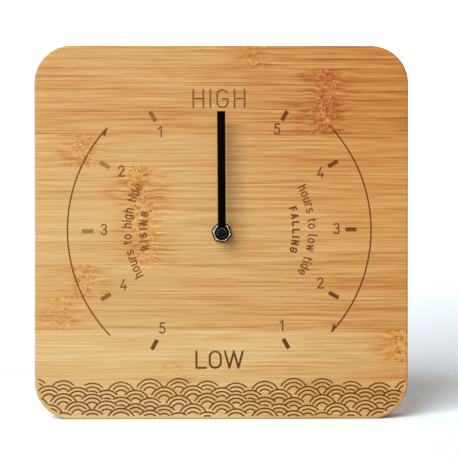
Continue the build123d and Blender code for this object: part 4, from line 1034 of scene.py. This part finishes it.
# Movement case and cover: black ABS, injection moulded, with a fine spark-eroded texture.
# The cover snaps into two windows in the case's sides and has a recess for the setting knob.
CASE_LOW, CASE_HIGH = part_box("movement_case")
COVER_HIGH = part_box("movement_cover")[1]
RIM_REACH = 0.05 * MM
SHORTEST_RIM = 1.5 * MM


def moulded_grain():
    """The node group for moulded plastic: a fine even texture, faint flow marks and some dust."""
    inputs = {"Body": "Color", "Dust": "Color", "Grain Scale": "Float", "Shine": "Float"}
    tree, given = node_group("moulded grain", "ShaderNodeTree", inputs, LOOK)
    place = coordinate(tree)
    flow = noise(place, 60.0, 3.0)
    specks = fade(cells(place, 420.0), 0.12, 0.05) * fade(flow, 0.45, 0.6)
    dusty = fade(flow, 0.4, 0.75) * 0.10 + specks * 0.35
    outputs = {
        "Color": blended(dusty, given["Body"], given["Dust"]),
        "Roughness": (flow - 0.5) * 0.15 + given["Shine"],
        "Height": noise(place, given["Grain Scale"], 2.0),
    }
    add_node(tree, "NodeGroupOutput", outputs)
    return tree


plastic_marks = moulded_grain()


def plastic(body, dust, grain, shine):
    """What the moulded grain needs."""
    return {"Body": colour(*body), "Dust": colour(*dust), "Grain Scale": grain, "Shine": shine}


def plastic_finish(name, body, dust, grain, shine, relief=0.012, **plain):
    """A moulded plastic, rubber or lacquer of one colour, with dust of another."""
    inputs = plastic(body, dust, grain, shine)
    return marked(surface(name, **plain), plastic_marks, inputs, relief * MM, 0.6)


def dressed(finish, *nodes):
    """Gives CAD pieces that are shown as they are a finish."""
    for node in nodes:
        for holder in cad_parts[node].material_slots:
            holder.material = finish


def on_case_rim(edge):
    """Whether an edge lies on the outside of the case, where a hand would feel it."""
    middle = (edge.verts[0].co + edge.verts[1].co) / 2
    gaps = (abs(middle.x) - CASE_HIGH.x, middle.z - CASE_HIGH.z, middle.z - CASE_LOW.z)
    return min(abs(gap) for gap in gaps) < RIM_REACH and edge.calc_length() > SHORTEST_RIM


def at_rear(y, reach):
    """The choice of the edges that lie on a rear face."""
    return lambda edge: all(abs(vertex.co.y - y) < reach for vertex in edge.verts)


black_abs = plastic_finish("black_abs", (34, 34, 35), (96, 94, 90), 3200.0, 0.48)
as_case = (black_abs, "clock", "black_case")
softened("movement_case", "moulded_movement_case", 0.35, *as_case, on_case_rim)
softened("movement_cover", "moulded_rear_cover", 0.3, *as_case, at_rear(COVER_HIGH.y, RIM_REACH))

# Wheels: the tide wheel's tube comes out through the bush to the hand. The wheels and pinions
# are moulded from white acetal, which needs no oil, and run in the case and the gear plate.
white_acetal = plastic_finish("white_acetal", (232, 231, 224), (196, 190, 176), 2200.0, 0.34, 0.006)
natural_plate = plastic_finish("natural_gear_plate", (214, 210, 196), (168, 160, 142), 2600.0, 0.42)
arbor_steel = metal_finish(
    "ground_arbor_steel", (190, 190, 188), (134, 132, 128), 0.2, (2600, 200, 2600)
)
bronze = metal_finish("spring_bronze", (196, 146, 86), (150, 104, 60), 0.28, (1800, 300, 1800))
dressed(white_acetal, "tide_wheel", "minute_wheel", "centre_wheel", "third_wheel")
dressed(white_acetal, "fourth_wheel", "fifth_wheel", "rotor_pinion")
dressed(natural_plate, "gear_plate")
dressed(arbor_steel, "centre_arbor")
dressed(bronze, "clutch_spring")
screws("plate_screws", "gear_plate_screws", "machine_screw", 0.5, 0.2, None, SMALL_SCREW_SIZES)

# Stepping motor: a magnet on the rotor between the poles of a soft iron stator, and a coil
# of fine enamelled copper wire on a plastic bobbin, whose iron core is screwed to the stator.
ferrite = metal_finish("plated_ferrite", (86, 88, 92), (58, 58, 60), 0.42, (900, 900, 900))
soft_iron = metal_finish("annealed_iron", (138, 138, 136), (96, 92, 88), 0.42, (400, 2400, 2400))
bobbin_nylon = plastic_finish("bobbin_nylon", (216, 204, 172), (170, 156, 124), 1800.0, 0.5)
copper = metal_finish("enamelled_copper", (184, 92, 46), (128, 56, 26), 0.24, (300, 300, 5200))
dressed(ferrite, "rotor_magnet")
dressed(soft_iron, "stator", "coil_core")
dressed(bobbin_nylon, "coil_bobbin")
dressed(copper, "coil_leads")
screws("stator_screws", "stator_screws_set", "machine_screw", 0.5, 0.2, None, SMALL_SCREW_SIZES)


def winding_tree():
    """Turns of round wire stacked up the coil."""
    tree, given = sized_tree("coil winding", ("Turn Count", "Coil Radius", "Wire Radius", "Pitch"))

    def circle(resolution, radius):
        """A round curve."""
        inputs = {"Resolution": resolution, "Radius": radius}
        return outcome(tree, "GeometryNodeCurvePrimitiveCircle", inputs)

    path, wire = circle(36, given["Coil Radius"]), circle(8, given["Wire Radius"])
    turn = outcome(tree, "GeometryNodeCurveToMesh", {"Curve": path, "Profile Curve": wire})
    inputs = {"Count": given["Turn Count"], "Offset": vector(tree, z=given["Pitch"])}
    hand_out(tree, given, instances(tree, outcome(tree, "GeometryNodeMeshLine", inputs), turn))
    return tree


COIL_LOW, COIL_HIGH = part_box("coil_winding")
WIRE_RADIUS = 0.13
coil_middle = (COIL_LOW + COIL_HIGH) / 2
winding_sizes = {
    "Turn Count": int((COIL_HIGH.z - COIL_LOW.z) / MM / (2 * WIRE_RADIUS)),
    "Coil Radius": (COIL_HIGH.x - COIL_LOW.x) / 2 - WIRE_RADIUS * MM,
    "Wire Radius": WIRE_RADIUS * MM,
    "Pitch": 2 * WIRE_RADIUS * MM,
}
coil_foot = (coil_middle.x, coil_middle.y, COIL_LOW.z + WIRE_RADIUS * MM)
winding = grown("copper_winding", winding_tree(), [coil_foot], copper, winding_sizes)
fitted(winding, "clock", "enamelled_copper", "coil_winding")

# Circuit: a small green glass-epoxy board on two pins of the gear plate, with the chip under
# a drop of black resin, the crystal in its metal can and two sprung battery contacts.
circuit_green = plastic_finish("green_solder_mask", (26, 92, 48), (16, 58, 32), 700.0, 0.3)
chip_resin = plastic_finish("black_resin", (22, 22, 22), (50, 50, 50), 500.0, 0.22, 0.004)
can_metal = metal_finish(
    "crystal_can_nickel", (208, 206, 200), (160, 156, 148), 0.2, (300, 2600, 2600)
)
contact_nickel = metal_finish(
    "nickelled_contacts", (206, 200, 188), (164, 154, 136), 0.26, (2200, 300, 2200)
)
dressed(circuit_green, "circuit_board")
dressed(chip_resin, "clock_chip")
dressed(can_metal, "quartz_crystal")
dressed(contact_nickel, "battery_contact_positive", "battery_contact_negative")

# Battery: one AA cell, a steel can in a printed film sleeve that shrinks over its shoulders.
# It clips in from the rear, between the two contacts, and lifts out to the rear.
CAN_LOW, CAN_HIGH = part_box("battery_can")
SLEEVE_LOW, SLEEVE_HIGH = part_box("battery_sleeve")
BASE_RADIUS = 5.0
BASE_DISH = 0.25
NUB_RADIUS = 2.75
NUB_LENGTH = 1.5
BAND_START = 9.0
BAND_FADE = 0.1
TURNED_STEPS = 64


def turned(name, profile, centre, finish, lying=False):
    """A round piece from a closed profile of (radius, place along), from front to back."""
    shell = Shell()
    for (radius, place), (next_radius, next_place) in zip(profile, profile[1:]):
        ring = circle_ring(0, 0, radius, TURNED_STEPS)
        shell.band(ring, place, circle_ring(0, 0, next_radius, TURNED_STEPS), next_place)
    made = shell.piece(name, finish)
    if lying:
        made.data.transform(Matrix.Rotation(math.radians(-90), 4, "Z"))
    made.data.transform(Matrix.Translation(Vector(centre) * MM))
    return made


def film_sleeve():
    """The sleeve's print: a plain two-colour design, dark with a copper band by the plus end."""
    made = surface("printed_film_sleeve", Coat_Weight=0.6, Coat_Roughness=0.15)
    x = axes(coordinate(made.node_tree))[0]
    band = fade(x, BAND_START * MM, (BAND_START + BAND_FADE) * MM)
    return marked(
        made, plastic_marks, plastic((30, 40, 58), (70, 78, 92), 260.0, 0.24), 0.01 * MM,
        recoloured=lambda shown: blended(band, shown, colour(196, 120, 60)),
    )


can_steel = metal_finish("nickelled_can", (206, 206, 204), (164, 162, 158), 0.2, (200, 2200, 2200))
can_radius = (CAN_HIGH.z - CAN_LOW.z) / 2 / MM
left, tip = CAN_LOW.x / MM, CAN_HIGH.x / MM
shoulder = tip - NUB_LENGTH
can_profile = [
    (0, left + BASE_DISH), (BASE_RADIUS - 0.4, left + BASE_DISH), (BASE_RADIUS, left),
    (can_radius - 0.6, left), (can_radius, left + 0.6),
    (can_radius, shoulder - 0.7), (can_radius - 0.7, shoulder - 0.05), (can_radius - 1.4, shoulder),
    (NUB_RADIUS + 0.2, shoulder), (NUB_RADIUS, shoulder + 0.2), (NUB_RADIUS, tip - 0.3),
    (NUB_RADIUS - 0.3, tip), (0, tip),
]
can_axis = (0, *((CAN_LOW + CAN_HIGH) / 2 / MM).yz)
can = turned("steel_battery_can", can_profile, can_axis, can_steel, lying=True)
fitted(can, "battery", "battery_steel", "battery_can")
sleeve_radius = (SLEEVE_HIGH.z - SLEEVE_LOW.z) / 2 / MM
left, right = SLEEVE_LOW.x / MM, SLEEVE_HIGH.x / MM
sleeve_profile = [
    (can_radius + 0.01, left + 0.2), (can_radius + 0.02, left), (sleeve_radius - 0.05, left),
    (sleeve_radius, left + 0.15), (sleeve_radius, right - 0.15), (sleeve_radius - 0.05, right),
    (can_radius + 0.02, right), (can_radius + 0.01, right - 0.2), (can_radius + 0.01, left + 0.2),
]
sleeve = turned("shrunk_battery_sleeve", sleeve_profile, can_axis, film_sleeve(), lying=True)
fitted(sleeve, "battery", "battery_film", "battery_sleeve")

# Setting knob: white acetal, in one piece with the stem and pinion that turn the minute
# wheel. Its rim is ribbed for a fingertip, and it lies in the recess of the rear cover.
KNOB_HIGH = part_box("setting_knob")[1]
KNOB_REACH = 0.02 * MM
knob_white = plastic_finish(
    "white_knob_acetal", (226, 225, 218), (186, 182, 170), 2400.0, 0.36, 0.008
)
softened(
    "setting_knob", "ribbed_setting_knob", 0.08, knob_white, "setting_stem", "white_knob",
    at_rear(KNOB_HIGH.y, KNOB_REACH), segments=1,
)

# Gasket, bush and nut: the bush's flange holds the case from inside, and its threaded brass
# tube comes out through the board. The nickelled nut draws the case up against the rubber.
NUT_FLATS_TURN = 20
# How far the nut's bright front hexagon reaches; outside it the nut gets a painted dark shade and
# reflection.
NUT_FACE = 4.22 * MM
NUT_FACE_FADE = 0.12 * MM
rubber = plastic_finish("black_rubber", (30, 30, 30), (72, 72, 70), 1500.0, 0.75, 0.02)
brass = metal_finish("turned_brass", (214, 178, 98), (168, 128, 62), 0.26, (300, 2600, 300))
softened("rubber_gasket", "rubber_washer", 0.12, rubber, "clock", "black_rubber")
dressed(brass, "threaded_bush")


def nickelled_nut():
    """Nickel, polished bright on the nut's front; its flanks, bevels and rim outside the front
    hexagon are painted near black, a painted shade and dark reflection.
    """
    made = surface("nickelled_hexagon", Metallic=1.0)
    tree = made.node_tree
    x, _, z = axes(coordinate(tree))
    rise = z - BOARD_CENTRE_Z * MM
    across = 0.0
    for flat in range(3):
        turn = math.radians(NUT_FLATS_TURN + 60 * flat)
        across = abs(rise * math.sin(turn) + x * math.cos(turn)).most(across)
    # Painted shade: faces that do not look straight forward, and the front outside the hexagon, are
    # painted near black in place of shade and dark reflections.
    front = fade(axes(coordinate(tree, "Normal"))[1], -0.80, -0.97)
    front = front * fade(across, NUT_FACE + NUT_FACE_FADE, NUT_FACE - NUT_FACE_FADE)
    inputs = metal(tree, (250, 247, 238), (204, 196, 176), 0.3, (1800, 1800, 1800))
    # The near-black colour is the painted shade and dark reflection of the flanks and bevels.
    return marked(
        made, metal_marks, inputs, 0.003 * MM,
        recoloured=lambda shown: blended(front, colour(34, 28, 22), shown),
    )


softened("hex_nut", "hexagon_nut", 0.1, nickelled_nut(), "clock", "bright_nickel")

# Hand: a baton stamped from thin aluminium with a round hub, riveted on a turned collet and
# lacquered satin black. A small domed plug closes the end of the tube that carries it.
CAP_RADIUS = 2.5
CAP_STEM_RADIUS = 1.6
CAP_EDGE = 0.28
CAP_BOW = 0.06
CAP_BOW_STEPS = 4
CAP_EDGE_STEP_ANGLE = 18
CAP_GAP = 0.01
lacquer = plastic_finish(
    "satin_black_lacquer", (10, 5, 2), (16, 10, 7), 1400.0, 0.55, 0.003, Specular_IOR_Level=0.01
)
cap_gloss = plastic_finish(
    "gloss_black_cap", (6, 4, 3), (12, 9, 7), 1400.0, 0.12, 0.001, Specular_IOR_Level=0.1
)
softened("hand_blade", "baton_hand", 0.07, lacquer, "tide_hand", "black_hand")
softened("hand_collet", "riveted_collet", 0.06, lacquer, "tide_hand", "black_hand")
cap_low, cap_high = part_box("hand_cap")
seat_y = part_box("hand_collet")[0].y / MM + CAP_GAP
front_y, back_y = cap_low.y / MM, cap_high.y / MM
edge_reach, edge_y = CAP_RADIUS - CAP_EDGE, front_y + CAP_BOW + CAP_EDGE
shares = [step / CAP_BOW_STEPS for step in range(CAP_BOW_STEPS + 1)]
cap_profile = [(edge_reach * share, front_y + CAP_BOW * share ** 2) for share in shares]
cap_profile += bow(edge_reach, edge_y, CAP_EDGE, CAP_EDGE, -90, 0, CAP_EDGE_STEP_ANGLE)[1:]
cap_profile += [(CAP_RADIUS, seat_y), (CAP_STEM_RADIUS, seat_y)]
cap_profile += [(CAP_STEM_RADIUS, back_y), (0, back_y)]
cap = turned("domed_hand_cap", cap_profile, (0, 0, BOARD_CENTRE_Z), cap_gloss)
fitted(cap, "tide_hand", "black_cap", "hand_cap")

# Studio floor: a sheet of white paper that curves up into a backdrop. It is white by itself,
# and the camera sees it whiter, most of all far behind the board, with its shadows kept.
FLOOR_HALF = 3.0
SWEEP_START = 0.2
SWEEP_RADIUS = 0.8
SWEEP_STEP_ANGLE = 90 / 16
SWEEP_TOP = 3.0
PAPER_WHITENESS = 0.7
NEAR_WHITENESS = 1.6
FAR_WHITENESS = 1.9

sweep = bow(SWEEP_START, SWEEP_RADIUS, SWEEP_RADIUS, SWEEP_RADIUS, -90, 0, SWEEP_STEP_ANGLE)
floor_profile = [(-FLOOR_HALF, 0.0), *sweep, (SWEEP_START + SWEEP_RADIUS, SWEEP_TOP)]
floor_mesh = bpy.data.meshes.new("studio_floor")
corners = [(side * FLOOR_HALF, y, z) for y, z in floor_profile for side in (-1, 1)]
quads = [(2 * n, 2 * n + 1, 2 * n + 3, 2 * n + 2) for n in range(len(floor_profile) - 1)]
floor_mesh.from_pydata(corners, [], quads)
floor_mesh.shade_smooth()
in_scene("studio_floor", floor_mesh)


def is_ray(tree, kind):
    """Whether light is reckoned for a ray of a kind."""
    return outcome(tree, "ShaderNodeLightPath", output=f"Is {kind} Ray")


paper = bpy.data.materials.new("white_paper")
paper.use_nodes = True
tree = paper.node_tree
tree.nodes.remove(tree.nodes["Principled BSDF"])
seen = is_ray(tree, "Camera").most(is_ray(tree, "Transmission"))
depth = axes(coordinate(tree))[1]
extra = fade(depth, 0.3, 0.75, NEAR_WHITENESS - PAPER_WHITENESS, FAR_WHITENESS - PAPER_WHITENESS)
tint = blended(seen, colour(255, 255, 255), colour(240, 248, 255))
shade = blended(1.0, tint, seen * extra + PAPER_WHITENESS, "MULTIPLY")
matt = outcome(tree, "ShaderNodeBsdfDiffuse", {"Color": shade})
feed(tree.nodes["Material Output"], {"Surface": matt})
floor_mesh.materials.append(paper)

# Studio light and camera: a large soft lamp at the left of the camera and a pale world.
# The camera stands almost straight in front of the dial.
LAMP_WIDTH = 1.9
LAMP_HEIGHT = 2.2
LAMP_POWER = 92
LAMP_COLOUR = (0.965, 1.0, 1.04)
LAMP_AZIMUTH = -32
LAMP_ELEVATION = 31
LAMP_DISTANCE = 3.0
CAMERA_DISTANCE = 0.700
CAMERA_LENS = 102.85
CAMERA_SENSOR = 36.0
CAMERA_NEAR = 0.01
CAMERA_YAW = 0.84
CAMERA_PITCH = 0.70
PICTURE_PIXELS = 458
SHIFT_PIXELS = (7.4, 3.7)


def aimed(made, azimuth, elevation, distance):
    """Stands a lamp or camera off the middle of the board and turns it to look there."""
    turn, rise = math.radians(azimuth), math.radians(elevation)
    level = math.cos(rise)
    back = Vector((math.sin(turn) * level, -math.cos(turn) * level, math.sin(rise)))
    made.location = Vector((0, FACE_Y * MM, BOARD_CENTRE_Z * MM)) + back * distance
    made.rotation_mode = "QUATERNION"
    made.rotation_quaternion = (-back).to_track_quat("-Z", "Y")
    return made


key_lamp = bpy.data.lights.new("key_lamp", "AREA")
key_lamp.shape = "RECTANGLE"
key_lamp.size = LAMP_WIDTH
key_lamp.size_y = LAMP_HEIGHT
key_lamp.energy = LAMP_POWER
key_lamp.color = LAMP_COLOUR
aimed(in_scene("key_lamp", key_lamp), LAMP_AZIMUTH, LAMP_ELEVATION, LAMP_DISTANCE)

world = bpy.data.worlds.new("pale_studio")
world.use_nodes = True
tree = world.node_tree
right, rear, _ = axes(coordinate(tree, "Generated"))
seen = is_ray(tree, "Camera")
glossy = is_ray(tree, "Glossy")
glow = fade(right, -0.3, -0.95, 0.0, 0.4) + fade(rear, 0.1, -0.7, 0.12, 0.8)
glint = glossy * fade(rear, -0.92, -0.97, 0.0, 5.5)
air = blended(seen, colour(134, 122, 104), colour(255, 255, 255))
feed(tree.nodes["Background"], {"Color": air, "Strength": (glow + glint).most(seen)})
bpy.context.scene.world = world

camera_data = bpy.data.cameras.new("camera")
camera_data.lens = CAMERA_LENS
camera_data.sensor_width = CAMERA_SENSOR
camera_data.shift_x = SHIFT_PIXELS[0] / PICTURE_PIXELS
camera_data.shift_y = SHIFT_PIXELS[1] / PICTURE_PIXELS
camera_data.clip_start = CAMERA_NEAR
camera = in_scene("camera", camera_data)
bpy.context.scene.camera = aimed(camera, -CAMERA_YAW, CAMERA_PITCH, CAMERA_DISTANCE)
bpy.context.scene.view_settings.view_transform = "Standard"
